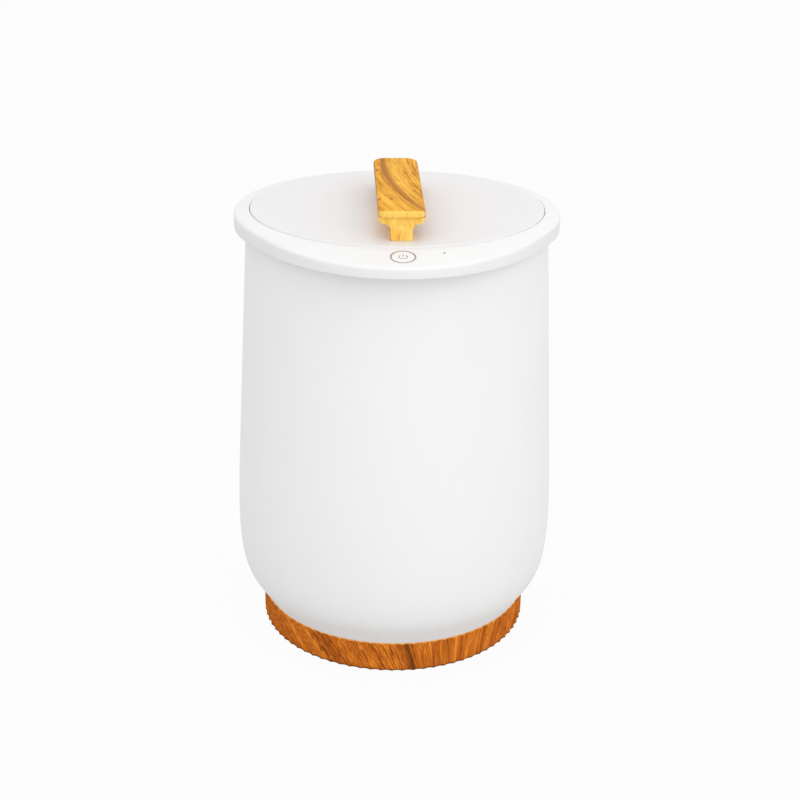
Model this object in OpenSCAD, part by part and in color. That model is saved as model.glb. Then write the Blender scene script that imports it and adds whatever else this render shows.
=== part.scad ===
// Towel warmer bucket: white tapered body with a rounded bottom, a collar that reaches out
// at the front for the power button, a lift-off lid with a wooden handle and a fluted wooden base.
// Millimetres, +Z up, front towards -Y, standing on z = 0, centred on its own footprint.

/* [Body] */
// Outer radius of the body under the collar
body_top_r = 137.8; // [130:0.1:145]
// How much further out the body reaches at the height where its taper ends
belly_swell = 12.5; // [9:0.1:18]
// Height where the taper ends and the round bottom begins
belly_z = 170; // [150:1:200]
// Height of the body's top edge
body_top_z = 403.5; // [380:0.5:440]
// Wall of the body
shell_wall = 2.5; // [2:0.1:4]
// How far the round bottom bulges out before it turns in
bottom_bulge = 6.5; // [4:0.1:8]
// Fullness of the round bottom above the base
bottom_fullness = 31; // [24:0.5:34]

/* [Base] */
// How far the base ring's crests lie inside the body's top radius
base_inset = 8; // [3:0.1:10]
// Height of the base ring's top
base_top_z = 31; // [26:0.5:40]
// Number of flutes round the base ring
flute_count = 80; // [60:1:100]
// Depth of a flute
flute_depth = 1.4; // [0.6:0.1:2]
// Width of the wooden wall of the base ring
base_wall = 11.8; // [9:0.1:14]
// Thickness of the base plate
plate_t = 3; // [2.5:0.1:5]
// Number of screws in the base plate
base_screw_count = 6; // [3:1:8]
// Radius of a rubber foot
foot_r = 8; // [6:0.5:10]
// How far the feet stand out below the base ring
foot_proud = 1.2; // [0.6:0.1:3]

/* [Collar] */
// How far the collar stands out past the body's top radius, at its sides and back
collar_overhang = 10.6; // [9:0.1:18]
// How much further the collar reaches at the front
lip_reach = 22; // [18:0.5:30]
// Angle from the front at which the lip has died away
lip_half_angle = 66; // [50:1:80]
// Slope of the collar's top
collar_slope = 10.5; // [8:0.5:14]
// Height of the collar's band from its low edge to its inner top edge
collar_h = 16.3; // [15:0.1:20]
// Wall of the collar
collar_wall = 2.5; // [2:0.1:3]
// Round between the collar's top and its band
shoulder_r = 3; // [2.6:0.1:5]
// Number of screws through the collar's foot
collar_screw_count = 6; // [4:1:8]

/* [Lid] */
// How far the lid's edge lies inside the body's top radius
lid_inset = 3.8; // [2:0.1:5]
// Gap between the lid and the collar
lid_gap = 0.5; // [0.4:0.1:2]
// How far the lid stands above the collar's inner edge
lid_proud = 0.8; // [0:0.1:2]
// Wall of the lid cover
lid_wall = 2.5; // [2:0.1:3]
// Round on the lid's top edge
lid_round = 1.2; // [0.5:0.1:2]
// How far the lid's liner reaches down
plug_depth = 16.8; // [12:0.1:24]
// Number of screws that hold the liner
lid_screw_count = 6; // [4:1:8]

/* [Handle] */
// Height of the handle's top above the lid
handle_h = 26.5; // [22:0.5:34]
// Thickness of the handle's cap
cap_t = 6; // [4:0.1:8]
// Width of the cap at the front
cap_front_w = 39.4; // [34:0.1:44]
// Width of the cap at the back
cap_back_w = 41.2; // [34:0.1:46]
// Distance of the cap's front end from the lid's edge
cap_front_inset = 14; // [10:0.5:30]
// Distance of the cap's back end from the lid's edge
cap_back_inset = 59; // [20:0.5:70]
// Width of the rail's web
web_w = 18.8; // [14:0.1:24]
// Height of the finger grooves under the rail's flanges
groove_h = 14.5; // [12:0.1:20]
// How far the cap stands out past the rail's ends
cap_overhang = 3; // [1:0.1:6]
// Radius of a handle screw
handle_screw_r = 2; // [1.5:0.1:2.5]

/* [Drum] */
// How far the drum's inner wall lies inside the body's top radius
drum_inset = 16.8; // [16:0.1:22]
// Wall of the drum
drum_wall = 1; // [0.8:0.1:1.5]
// Height of the drum's floor above the table
drum_floor_z = 66; // [62:0.5:90]
// Round between the drum's wall and floor
drum_round = 12; // [6:0.5:20]

/* [Heater] */
// Thickness of the heater band
heater_t = 1.5; // [1:0.1:2]
// Height of the heater band
heater_h = 240; // [180:1:260]
// Thickness of the insulation under the drum
disc_t = 12; // [8:0.5:12]
// Radius of the thermostat
thermostat_r = 8.3; // [6:0.1:10]

/* [Power button] */
// Width of the metal ring round the button
ring_w = 1.22; // [1.1:0.02:2]
// Radius of the button
button_r = 9.5; // [8.5:0.05:9.5]
// Running clearance between the button and its ring
button_clearance = 0.08; // [0.05:0.01:0.1]
// Travel of the button
button_travel = 0.8; // [0.4:0.1:0.8]
// Distance of the button's middle from the collar's front edge
button_inset = 19.8; // [18.6:0.1:20.4]
// Distance of the indicator from the collar's front edge, along the radius
indicator_inset = 24.6; // [23.5:0.1:25.5]
// Angle between the button and the indicator
indicator_angle = 13.6; // [12:0.1:14]
// Radius of the indicator's lens
lens_r = 1; // [0.8:0.1:1.2]

/* [Power inlet] */
// Width of the inlet's flange
inlet_w = 24; // [22:0.5:28]
// Height of the inlet's flange
inlet_h = 15; // [14:0.5:18]
// Depth of the inlet's body behind its flange
inlet_depth = 14; // [12:0.5:18]

/* [Power board] */
// Width of the power board
board_w = 90; // [70:1:100]
// Length of the power board
board_l = 62; // [50:1:70]

/* [Hidden] */

// Fine circles for what shows, coarser ones for small fasteners
$fn = 96;
small_fn = 32;

shell_white = "#f3f3f2";
board_green = "#2f6b45";
wire_grey = "#8a8d90";
steel = "#b9bcc0";
dark_plastic = "#2b2c2e";
rubber_grey = "#4a4b4d";
base_wood = "#c4702b";
handle_wood = "#e8ad4e";
felt_cream = "#d9d3c2";

// Gap left between neighbours that don't touch
fit_gap = 0.3;
// Extra length that takes a cut past a face
cut = 1;
// Play of a screw in the hole it bites in, and in the hole it passes
bite_gap = 0.05;
pass_gap = 0.2;
// Depth by which a boss sinks into the wall that carries it
sink = 0.6;
// A wire is a little thicker where it bends
bend_swell = 1.06;

// Radii that follow the body's top radius
belly_r = body_top_r + belly_swell;
base_r = body_top_r - base_inset;
collar_r = body_top_r + collar_overhang;
lid_r = body_top_r - lid_inset;
drum_r = body_top_r - drum_inset;
base_low_z = foot_proud;
// Points round the collar and along the round bottom
collar_steps = 96;
bottom_steps = 24;

// Body: the straight taper and the control points of the round bottom
taper = (belly_r - body_top_r) / (body_top_z - belly_z);
neck_r = base_r - 0.5;
bottom_tangent = 15.8;
bulge_drop = bottom_bulge / taper;
bottom_points = [
    [belly_r, belly_z],
    [belly_r + bottom_bulge, max(belly_z - bulge_drop, base_top_z + 14)],
    [neck_r + bottom_tangent, base_top_z + bottom_fullness],
    [neck_r, base_top_z]
];
floor_t = shell_wall;
floor_boss_r = 5;
floor_boss_h = 10;
function taper_r(z) = body_top_r + (body_top_z - z) * taper;

// Rim: what carries the drum's flange and the collar's foot, from below upwards
rim_h = 6;
ledge_t = 2;
ledge_w = 3.3;
ledge_in_r = taper_r(body_top_z - rim_h) - shell_wall - ledge_w;
flange_t = 1;
foot_t = 2;
rim_low_z = body_top_z - rim_h;
rim_outer_r = body_top_r - shell_wall - fit_gap;
drum_outer_r = drum_r + drum_wall;
flange_top_z = body_top_z + flange_t;
foot_top_z = flange_top_z + foot_t;
collar_in_r = lid_r + lid_gap;
flange_r = rim_outer_r - 1;
collar_foot_w = 8;
collar_foot_r = collar_in_r - collar_foot_w;
collar_screw_pitch_r = collar_in_r - collar_foot_w / 2;
collar_screw_r = 1.5;
collar_screw_head_r = 2.7;
collar_screw_head_h = 2;

// The body's axis lies behind the middle of the footprint, because the lip reaches forward
belly_max_r = max([for (i = [0:bottom_steps]) curve(bottom_points, i / bottom_steps)[0]]);
axis_y = (collar_r + lip_reach - belly_max_r) / 2;

// Collar
collar_low_z = body_top_z - 5;
collar_in_z = collar_low_z + collar_h;
tray_t = 2;
edge_round = 1;
inner_edge_round = 0.6;
slope_tan = tan(collar_slope);
tray_in_r = taper_r(collar_low_z) + fit_gap;
tray_screw_pitch_r = (collar_in_r + collar_r) / 2;
tray_screw_r = 1.25;
tray_screw_l = 7;
tray_screw_angles = [45, 90, 135, 180, 225, 270, 315];
function reach(angle) =
    let (a = abs(angle > 180 ? angle - 360 : angle))
    collar_r + (a < lip_half_angle ? lip_reach * pow(cos(90 * a / lip_half_angle), 2) : 0);
function collar_top_z(r) = collar_in_z - (r - collar_in_r) * slope_tan;
function collar_under_z(r) = collar_top_z(r) - collar_wall / cos(collar_slope);

// Lid
lid_top_z = collar_in_z + lid_proud;
lid_low_z = foot_top_z + collar_screw_head_h + fit_gap;
liner_t = 1.5;
plug_r = drum_r - 1.5;
plug_low_z = lid_low_z - plug_depth;
liner_top_z = lid_low_z + liner_t;
seal_in_r = drum_outer_r + 0.5;
seal_out_r = collar_foot_r - 0.7;
seal_lip = (seal_out_r - seal_in_r) / 4;
lid_screw_r = 1.5;
lid_screw_head_r = 2.4;
lid_screw_head_h = 1.8;
lid_screw_pitch_r = lid_r - lid_wall - lid_screw_head_r - 0.2;
lid_screw_turn = 30;
lid_boss_r = 2.9;

// Handle
handle_screw_head_r = 4;
handle_screw_head_h = 2.4;
washer_r = 5;
washer_t = 0.8;
rail_top_h = handle_h - cap_t;
cap_front_reach = lid_r - cap_front_inset;
cap_back_reach = lid_r - cap_back_inset;
rail_front_reach = cap_front_reach - cap_overhang;
rail_back_reach = cap_back_reach - cap_overhang;
rail_l = rail_front_reach + rail_back_reach;
rail_half_w = min(cap_front_w, cap_back_w) / 2 - 0.1;
flange_edge_r = rail_top_h - groove_h - 0.2;
cove_r = 4;
cap_corner_r = 6.5;
cap_back_corner_r = 13;
cap_edge_r = 1.8;
handle_screw_places = [-rail_front_reach + 18, (rail_back_reach - rail_front_reach) / 2, rail_back_reach - 18];
handle_screw_bite = rail_top_h + cap_t / 2;
under_cover_z = lid_top_z - lid_wall;

// Base
plate_low_z = base_low_z + 1;
plate_top_z = plate_low_z + plate_t;
base_in_r = base_r - base_wall;
step_w = 3;
plate_r = base_in_r + step_w - fit_gap;
base_screw_pitch_r = base_in_r - 10;
floor_opening_r = base_screw_pitch_r - 8;
foot_pitch_r = base_screw_pitch_r - 12;
base_screw_r = 1.9;
base_screw_head_r = 3.8;
base_screw_head_h = 2.5;
base_post_r = 6;
counterbore_h = 5.8;
foot_pocket = 1.5;
foot_count = 4;
foot_turn = 45;
flute_chord = 2 * base_r * sin(180 / flute_count);
flute_arc_r = (pow(flute_chord / 2, 2) + pow(flute_depth, 2)) / (2 * flute_depth);
flute_points = 7;

// Button frame: the collar's surface at the button, tilted with the collar's top
button_pitch_r = collar_r + lip_reach - button_inset;
indicator_pitch_r = collar_r + lip_reach - indicator_inset;
button_surface_z = collar_top_z(button_pitch_r);
button_proud = 0.25;
ring_flange_t = 0.4;
ring_depth = 4;
ring_in_r = button_r + button_clearance;
ring_r = ring_in_r + ring_w;
ring_body_r = ring_r - 0.5;
button_cap_t = 1.3;
control_top = -6;
control_t = 1.2;
control_low_x = -16;
control_high_x = 39;
control_front_y = -4.5;
control_back_y = button_pitch_r - collar_in_r - collar_wall - 2.5;
control_screw_places = [[-11, control_back_y - 3.5], [24, -0.5]];
control_post_r = 2.4;
control_screw_r = 0.9;
switch_w = 6.2;
switch_h = 3.3;
plunger_r = 1.7;
plunger_clearance = 0.08;
plunger_top = button_proud - button_cap_t;
plunger_low = control_top + button_travel + 0.5;
indicator_x = indicator_pitch_r * sin(indicator_angle);
indicator_y = -indicator_pitch_r * cos(indicator_angle);
indicator_dz = collar_top_z(indicator_pitch_r) - button_surface_z;
indicator_dy = indicator_y + button_pitch_r;
indicator_local_y = indicator_dy * cos(collar_slope) + indicator_dz * sin(collar_slope);
indicator_local_z = indicator_dz * cos(collar_slope) - indicator_dy * sin(collar_slope);
led_h = 2.2;
lens_l = indicator_local_z - (control_top + led_h);

// Drum, heater and insulation
heater_in_r = drum_outer_r + fit_gap;
heater_low_z = drum_floor_z + 24;
sleeve_in_r = heater_in_r + heater_t + fit_gap;
sleeve_out_r = ledge_in_r - fit_gap;
sleeve_low_z = drum_floor_z + 8;
sleeve_top_z = rim_low_z - ledge_t - 2;
disc_r = drum_outer_r - 10;
thermostat_h = 9;
fuse_r = 2.2;
fuse_l = 16;
strip_w = 12;
strip_t = 1;
strip_top_z = drum_floor_z - thermostat_h;
window_half_w = thermostat_r + 3.7;
stud_r = 1.5;
stud_x = -34;
stud_far_x = 50;
strip_l = stud_far_x - stud_x;
strip_mid_x = (stud_x + stud_far_x) / 2;
thermostat_x = stud_far_x - 16;
fuse_x = strip_mid_x;
stud_h = thermostat_h + 6;
nut_h = 2.4;

// Inlet, power board and wires
inlet_mid_z = (base_low_z + base_top_z) / 2;
inlet_face_y = base_r - flute_depth - 1.2;
inlet_flange_t = 2;
inlet_body_w = inlet_w - 4;
inlet_body_h = inlet_h - 3;
socket_w = 13.4;
socket_h = 7.4;
socket_depth = 10;
pin_r = 1.2;
pin_pitch = 6.6;
board_t = 1.6;
lead_rise = 1.3;
board_post_h = inlet_mid_z - lead_rise - board_t - plate_top_z;
board_low_z = plate_top_z + board_post_h;
board_top_z = board_low_z + board_t;
board_mid_y = 20;
board_post_r = 3.5;
board_screw_inset = 5;
board_screw_r = 1.25;
board_screw_l = 8;
transformer_w = 24;
transformer_d = 20;
transformer_h = 17;
relay_w = 19;
relay_d = 15;
relay_h = 15;
capacitor_r = 6;
capacitor_h = 16;
terminal_w = 18;
terminal_d = 9;
terminal_h = 6;
part_gap = 10;
lead_r = 0.7;
lead_pitch = 8;
cable_r = 1.2;
cable_angle = 9;
cable_run_z = body_top_z - cable_r - fit_gap;
cable_drop_r = rim_outer_r - cable_r - 0.2;
cable_rise_r = button_pitch_r - 7.5;
cable_socket_x = 10;
cable_socket_w = 8;
cable_socket_d = 5;
cable_socket_h = 4;
cable_turn_z = drum_floor_z - disc_t - 4;
vent_count = 12;
vent_w = 3;
vent_l = 18;
vent_inset = 30;
vent_pitch_r = base_screw_pitch_r - vent_inset;

// Helpers

// Puts a piece that is drawn round the body's axis in its place
module on_axis() {
    translate([0, axis_y, 0]) children();
}

// The frame of the power button: z = 0 on the collar's sloping top, +z out of it
module on_slope() {
    translate([0, -button_pitch_r, button_surface_z]) rotate([collar_slope, 0, 0]) children();
}

// Copies round the axis, at a radius, starting at an angle from +X
module ring_of(count, radius, start = 0) {
    for (i = [0:count - 1]) rotate(start + i * 360 / count) translate([radius, 0, 0]) children();
}

// Pan-head screw with its head's underside at z = 0, pointing down
module pan_screw(r, l, head_r, head_h) {
    translate([0, 0, -l]) cylinder(r = r, h = l + sink, $fn = small_fn);
    difference() {
        cylinder(r = head_r, h = head_h, $fn = small_fn);
        for (a = [0, 90]) rotate(a)
            translate([0, 0, head_h]) cube([head_r * 1.2, head_r * 0.25, head_h * 0.9], center = true);
    }
}

// Round wire through a list of points
module wire(points, r) {
    for (i = [0:len(points) - 2]) {
        step = points[i + 1] - points[i];
        length = norm(step);
        translate(points[i])
            rotate([0, acos(step[2] / length), atan2(step[1], step[0])])
                cylinder(r = r, h = length, $fn = small_fn);
    }
    if (len(points) > 2) for (i = [1:len(points) - 2]) translate(points[i]) sphere(r = r * bend_swell, $fn = small_fn);
}

// A point at a radius, an angle from the front and a height
function around(r, angle, z) = [r * sin(angle), -r * cos(angle), z];

// Cubic curve through four control points, its slope and its unit normal
function curve(p, t) =
    pow(1 - t, 3) * p[0] + 3 * pow(1 - t, 2) * t * p[1] + 3 * (1 - t) * t * t * p[2] + pow(t, 3) * p[3];
function curve_slope(p, t) =
    pow(1 - t, 2) * (p[1] - p[0]) + 2 * (1 - t) * t * (p[2] - p[1]) + t * t * (p[3] - p[2]);
function curve_normal(p, t) = let (d = curve_slope(p, t)) [-d[1], d[0]] / norm(d);

// Body

module outer_shell() {
    outer = [for (i = [0:bottom_steps]) curve(bottom_points, i / bottom_steps)];
    inner = [
        for (i = [0:bottom_steps])
            let (t = i / bottom_steps, p = curve(bottom_points, t) - shell_wall * curve_normal(bottom_points, t))
            if (p[1] > base_top_z + floor_t + 0.2) p
    ];
    ledge_low_z = rim_low_z - ledge_t;
    profile = concat(
        [[floor_opening_r, base_top_z + floor_t], [floor_opening_r, base_top_z]],
        [for (i = [bottom_steps:-1:0]) outer[i]],
        [
            [body_top_r, body_top_z],
            [body_top_r - shell_wall, body_top_z],
            [taper_r(rim_low_z) - shell_wall, rim_low_z],
            [ledge_in_r, rim_low_z],
            [ledge_in_r, ledge_low_z],
            [taper_r(ledge_low_z - ledge_w) - shell_wall, ledge_low_z - ledge_w]
        ],
        inner,
        [[inner[len(inner) - 1][0] - 0.6, base_top_z + floor_t]]
    );
    on_axis() color(shell_white) difference() {
        union() {
            rotate_extrude() polygon(profile);
            ring_of(base_screw_count, base_screw_pitch_r)
                translate([0, 0, base_top_z + floor_t - sink])
                    cylinder(r = floor_boss_r, h = floor_boss_h + sink, $fn = small_fn);
        }
        ring_of(base_screw_count, base_screw_pitch_r)
            translate([0, 0, base_top_z - cut])
                cylinder(r = base_screw_r + bite_gap, h = floor_t + floor_boss_h + 2 * cut, $fn = small_fn);
        // Notch for the cable, through the top edge and the ledge
        rotate(cable_angle) translate([-cable_r - fit_gap, -body_top_r - 3, body_top_z - 2 * cable_r - 2 * fit_gap])
            cube([2 * (cable_r + fit_gap), 6, 2 * cable_r + 2 * fit_gap + cut]);
        rotate(cable_angle) translate([-cable_r - fit_gap, -taper_r(rim_low_z) + shell_wall, ledge_low_z - ledge_w - cut])
            cube([2 * (cable_r + fit_gap), ledge_w + cut, rim_h + ledge_t + ledge_w + 2 * cut]);
    }
}

module inner_drum() {
    mid_z = drum_floor_z + drum_round;
    outer_arc = [
        for (i = [0:8]) let (a = -90 + i * 90 / 8)
        [drum_outer_r - drum_round + drum_round * cos(a), mid_z + drum_round * sin(a)]
    ];
    inner_round = drum_round - drum_wall;
    inner_arc = [
        for (i = [8:-1:0]) let (a = -90 + i * 90 / 8)
        [drum_r - inner_round + inner_round * cos(a), mid_z + inner_round * sin(a)]
    ];
    on_axis() color("#c9ccd0") difference() {
        union() {
            rotate_extrude() polygon(concat(
                [[0, drum_floor_z + drum_wall], [0, drum_floor_z]],
                outer_arc,
                [
                    [drum_outer_r, body_top_z],
                    [flange_r, body_top_z],
                    [flange_r, flange_top_z],
                    [drum_r, flange_top_z]
                ],
                inner_arc
            ));
            for (x = [stud_x, stud_far_x]) translate([x, 0, drum_floor_z - stud_h])
                cylinder(r = stud_r, h = stud_h + drum_wall / 2, $fn = small_fn);
        }
        ring_of(collar_screw_count, collar_screw_pitch_r)
            translate([0, 0, body_top_z - cut]) cylinder(r = collar_screw_r + pass_gap, h = flange_t + 2 * cut, $fn = small_fn);
    }
}

module rim_ring() {
    on_axis() color("#d8d8d5") difference() {
        translate([0, 0, rim_low_z]) cylinder(r = rim_outer_r, h = rim_h);
        translate([0, 0, rim_low_z - cut]) cylinder(r = drum_outer_r + fit_gap, h = rim_h + 2 * cut);
        ring_of(collar_screw_count, collar_screw_pitch_r)
            translate([0, 0, rim_low_z + cut]) cylinder(r = collar_screw_r + bite_gap, h = rim_h, $fn = small_fn);
        // Notch for the cable
        rotate(cable_angle) translate([-cable_r - fit_gap, -rim_outer_r - cut, rim_low_z - cut])
            cube([2 * (cable_r + fit_gap), 2 * cable_r + 0.7 + cut, rim_h + 2 * cut]);
    }
}

module heater_band() {
    on_axis() color("#b5512e") difference() {
        translate([0, 0, heater_low_z]) cylinder(r = heater_in_r + heater_t, h = heater_h);
        translate([0, 0, heater_low_z - cut]) cylinder(r = heater_in_r, h = heater_h + 2 * cut);
    }
}

module insulation_sleeve() {
    on_axis() color(felt_cream) difference() {
        translate([0, 0, sleeve_low_z]) cylinder(r = sleeve_out_r, h = sleeve_top_z - sleeve_low_z);
        translate([0, 0, sleeve_low_z - cut]) cylinder(r = sleeve_in_r, h = sleeve_top_z - sleeve_low_z + 2 * cut);
    }
}

module insulation_disc() {
    on_axis() color(felt_cream) difference() {
        translate([0, 0, drum_floor_z - disc_t]) cylinder(r = disc_r, h = disc_t);
        // Window for the thermostat, the fuse and their strip
        translate([strip_mid_x - strip_l / 2 - 6, -window_half_w, drum_floor_z - disc_t - cut])
            cube([strip_l + 12, 2 * window_half_w, disc_t + 2 * cut]);
    }
}

module thermostat() {
    body_r = thermostat_r - 0.9;
    on_axis() color("#e6e2d8") translate([thermostat_x, 0, strip_top_z]) {
        cylinder(r = body_r, h = thermostat_h, $fn = small_fn);
        translate([0, 0, thermostat_h - 3]) cylinder(r = thermostat_r, h = 3, $fn = small_fn);
        for (side = [-1, 1]) translate([-0.4, side * (body_r + 2) - 2.5, 2.5]) cube([0.8, 5, 2.5]);
    }
}

module thermal_fuse() {
    on_axis() color("#c8b070") translate([fuse_x, 0, strip_top_z + fuse_r]) rotate([0, 90, 0]) {
        translate([0, 0, -fuse_l / 2]) cylinder(r = fuse_r, h = fuse_l, $fn = small_fn);
        translate([0, 0, -fuse_l / 2 - 5]) cylinder(r = 0.6, h = fuse_l + 10, $fn = small_fn);
    }
}

module sensor_strip() {
    on_axis() color(steel) difference() {
        translate([strip_mid_x - strip_l / 2 - 4, -strip_w / 2, strip_top_z - strip_t])
            cube([strip_l + 8, strip_w, strip_t]);
        for (x = [stud_x, stud_far_x]) translate([x, 0, strip_top_z - strip_t - cut])
            cylinder(r = stud_r + pass_gap, h = strip_t + 2 * cut, $fn = small_fn);
    }
}

module sensor_nuts() {
    on_axis() color(steel) for (x = [stud_x, stud_far_x]) translate([x, 0, strip_top_z - strip_t - nut_h])
        difference() {
            cylinder(r = 3.2, h = nut_h, $fn = 6);
            translate([0, 0, -cut]) cylinder(r = stud_r + bite_gap, h = nut_h + 2 * cut, $fn = small_fn);
        }
}

// Base

// Outline of the base ring: shallow hollow flutes that meet in crests
module fluted_outline() {
    centre_r = base_r * cos(180 / flute_count) + flute_arc_r - flute_depth;
    half = asin(flute_chord / 2 / flute_arc_r);
    polygon([
        for (i = [0:flute_count - 1], j = [0:flute_points - 1])
            let (a = i * 360 / flute_count, b = 180 + half - 2 * half * j / flute_points)
            [centre_r * cos(a) + flute_arc_r * cos(a + b), centre_r * sin(a) + flute_arc_r * sin(a + b)]
    ]);
}

module base_ring() {
    on_axis() color(base_wood) difference() {
        translate([0, 0, base_low_z]) linear_extrude(base_top_z - base_low_z) fluted_outline();
        translate([0, 0, base_low_z - cut]) cylinder(r = base_in_r, h = base_top_z - base_low_z + 2 * cut);
        translate([0, 0, base_low_z - cut]) cylinder(r = base_in_r + step_w, h = plate_top_z - base_low_z + cut);
        // Flat seat and window for the power inlet at the back
        translate([-inlet_w / 2 - fit_gap, inlet_face_y - inlet_flange_t, inlet_mid_z - inlet_h / 2 - fit_gap])
            cube([inlet_w + 2 * fit_gap, base_wall, inlet_h + 2 * fit_gap]);
        translate([-inlet_body_w / 2 - fit_gap, base_in_r - cut - 3, inlet_mid_z - inlet_body_h / 2 - fit_gap])
            cube([inlet_body_w + 2 * fit_gap, base_wall + 3, inlet_body_h + 2 * fit_gap]);
    }
}

module base_plate() {
    on_axis() color(dark_plastic) difference() {
        union() {
            translate([0, 0, plate_low_z]) cylinder(r = plate_r, h = plate_t);
            ring_of(base_screw_count, base_screw_pitch_r)
                translate([0, 0, plate_top_z - sink])
                    cylinder(r = base_post_r, h = base_top_z - plate_top_z + sink, $fn = small_fn);
            at_board_corners() translate([0, 0, plate_top_z - sink])
                cylinder(r = board_post_r, h = board_post_h + sink, $fn = small_fn);
        }
        ring_of(base_screw_count, base_screw_pitch_r) {
            translate([0, 0, plate_low_z - cut])
                cylinder(r = base_screw_r + 0.3, h = base_top_z - plate_low_z + 2 * cut, $fn = small_fn);
            translate([0, 0, plate_low_z - cut])
                cylinder(r = base_screw_head_r + 0.4, h = counterbore_h + cut, $fn = small_fn);
        }
        at_board_corners() translate([0, 0, plate_top_z]) cylinder(r = board_screw_r + bite_gap, h = board_post_h + cut, $fn = small_fn);
        ring_of(foot_count, foot_pitch_r, foot_turn)
            translate([0, 0, plate_low_z - cut]) cylinder(r = foot_r + 0.1, h = foot_pocket + cut);
        ring_of(vent_count, vent_pitch_r)
            translate([-vent_l / 2, -vent_w / 2, plate_low_z - cut]) cube([vent_l, vent_w, plate_t + 2 * cut]);
    }
}

module base_screws() {
    on_axis() color(steel) ring_of(base_screw_count, base_screw_pitch_r)
        translate([0, 0, plate_low_z + counterbore_h]) mirror([0, 0, 1])
            pan_screw(base_screw_r, base_top_z - plate_low_z - counterbore_h + floor_t + floor_boss_h - 2,
                base_screw_head_r, base_screw_head_h);
}

module rubber_feet() {
    on_axis() color(rubber_grey) ring_of(foot_count, foot_pitch_r, foot_turn) rotate_extrude() polygon([
        [0, 0], [foot_r - 0.5, 0], [foot_r, 0.5], [foot_r, plate_low_z + foot_pocket], [0, plate_low_z + foot_pocket]
    ]);
}

// Outline with round ends, as a mains socket has
module socket_outline(w, h) {
    square([w - h, h], center = true);
    for (side = [-1, 1]) translate([side * (w - h) / 2, 0]) circle(r = h / 2, $fn = small_fn);
}

module power_inlet() {
    on_axis() color(dark_plastic) translate([0, inlet_face_y, inlet_mid_z]) rotate([90, 0, 0]) difference() {
        union() {
            translate([-inlet_w / 2, -inlet_h / 2, 0]) cube([inlet_w, inlet_h, inlet_flange_t]);
            translate([-inlet_body_w / 2, -inlet_body_h / 2, inlet_flange_t - sink])
                cube([inlet_body_w, inlet_body_h, inlet_depth + sink]);
        }
        translate([0, 0, -cut]) linear_extrude(socket_depth + cut) socket_outline(socket_w, socket_h);
        for (side = [-1, 1]) translate([side * pin_pitch / 2, 0, 0])
            cylinder(r = pin_r + bite_gap, h = inlet_depth + inlet_flange_t + cut, $fn = small_fn);
    }
}

module inlet_pins() {
    on_axis() color(steel) translate([0, inlet_face_y, inlet_mid_z]) rotate([90, 0, 0])
        for (side = [-1, 1]) translate([side * pin_pitch / 2, 0, 3])
            cylinder(r = pin_r, h = inlet_depth + inlet_flange_t, $fn = small_fn);
}

module at_board_corners() {
    for (x = [-1, 1], y = [-1, 1])
        translate([x * (board_w / 2 - board_screw_inset), board_mid_y + y * (board_l / 2 - board_screw_inset), 0])
            children();
}

module power_board() {
    on_axis() color(board_green) difference() {
        translate([-board_w / 2, board_mid_y - board_l / 2, board_low_z]) cube([board_w, board_l, board_t]);
        at_board_corners() translate([0, 0, board_low_z - cut])
            cylinder(r = board_screw_r + pass_gap, h = board_t + 2 * cut, $fn = small_fn);
    }
}

// Transformer, relay, capacitor and terminal blocks on the power board
module board_parts() {
    on_axis() translate([0, board_mid_y, board_top_z]) {
        color("#d8c25a") translate([-part_gap / 2 - transformer_w, -transformer_d, 0])
            cube([transformer_w, transformer_d, transformer_h]);
        color("#3a6fae") translate([part_gap / 2, -relay_d, 0]) cube([relay_w, relay_d, relay_h]);
        color("#33363a") translate([-2 * part_gap, part_gap, 0]) cylinder(r = capacitor_r, h = capacitor_h, $fn = small_fn);
        color("#3f8a52") translate([-terminal_w / 2, board_l / 2 - terminal_d - 1, 0])
            cube([terminal_w, terminal_d, terminal_h]);
        color("#e6e6e2") translate([cable_socket_x - cable_socket_w / 2, -board_l / 2 + 3, 0])
            cube([cable_socket_w, cable_socket_d, cable_socket_h]);
    }
}

module board_screws() {
    on_axis() color(steel) at_board_corners() translate([0, 0, board_top_z]) pan_screw(board_screw_r, board_screw_l, 2.6, 1.8);
}

module mains_leads() {
    start_y = inlet_face_y - inlet_depth - inlet_flange_t - 3;
    on_axis() color(wire_grey) for (side = [-1, 1])
        wire([
            [side * pin_pitch / 2, start_y, inlet_mid_z],
            [side * pin_pitch / 2, board_mid_y + board_l / 2 - 1, inlet_mid_z]
        ], lead_r);
}

module heater_leads() {
    run_z = cable_turn_z - 4;
    on_axis() color("#b03a30") for (side = [-1, 1])
        wire([
            [side * lead_pitch / 2, heater_in_r + heater_t / 2, heater_low_z],
            [side * lead_pitch / 2, heater_in_r + heater_t / 2, run_z],
            [side * lead_pitch / 2, board_mid_y + board_l / 2 - 4, run_z],
            [side * lead_pitch / 2, board_mid_y + board_l / 2 - 4, board_top_z + terminal_h]
        ], lead_r);
}

module control_cable() {
    on_axis() color(wire_grey) wire([
        around(cable_rise_r, cable_angle, board_under_z(cable_rise_r * cos(cable_angle)) - fit_gap),
        around(cable_rise_r, cable_angle, cable_run_z),
        around(cable_drop_r, cable_angle, cable_run_z),
        around(cable_drop_r, cable_angle, cable_turn_z),
        [cable_socket_x, board_mid_y - board_l / 2 + 5.5, cable_turn_z],
        [cable_socket_x, board_mid_y - board_l / 2 + 5.5, board_top_z + cable_socket_h]
    ], cable_r);
}

// Height of the control board's underside at a distance in front of the axis
function board_under_z(front) =
    button_surface_z + (button_pitch_r - front) * slope_tan + (control_top - control_t) / cos(collar_slope);

// Collar

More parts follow.
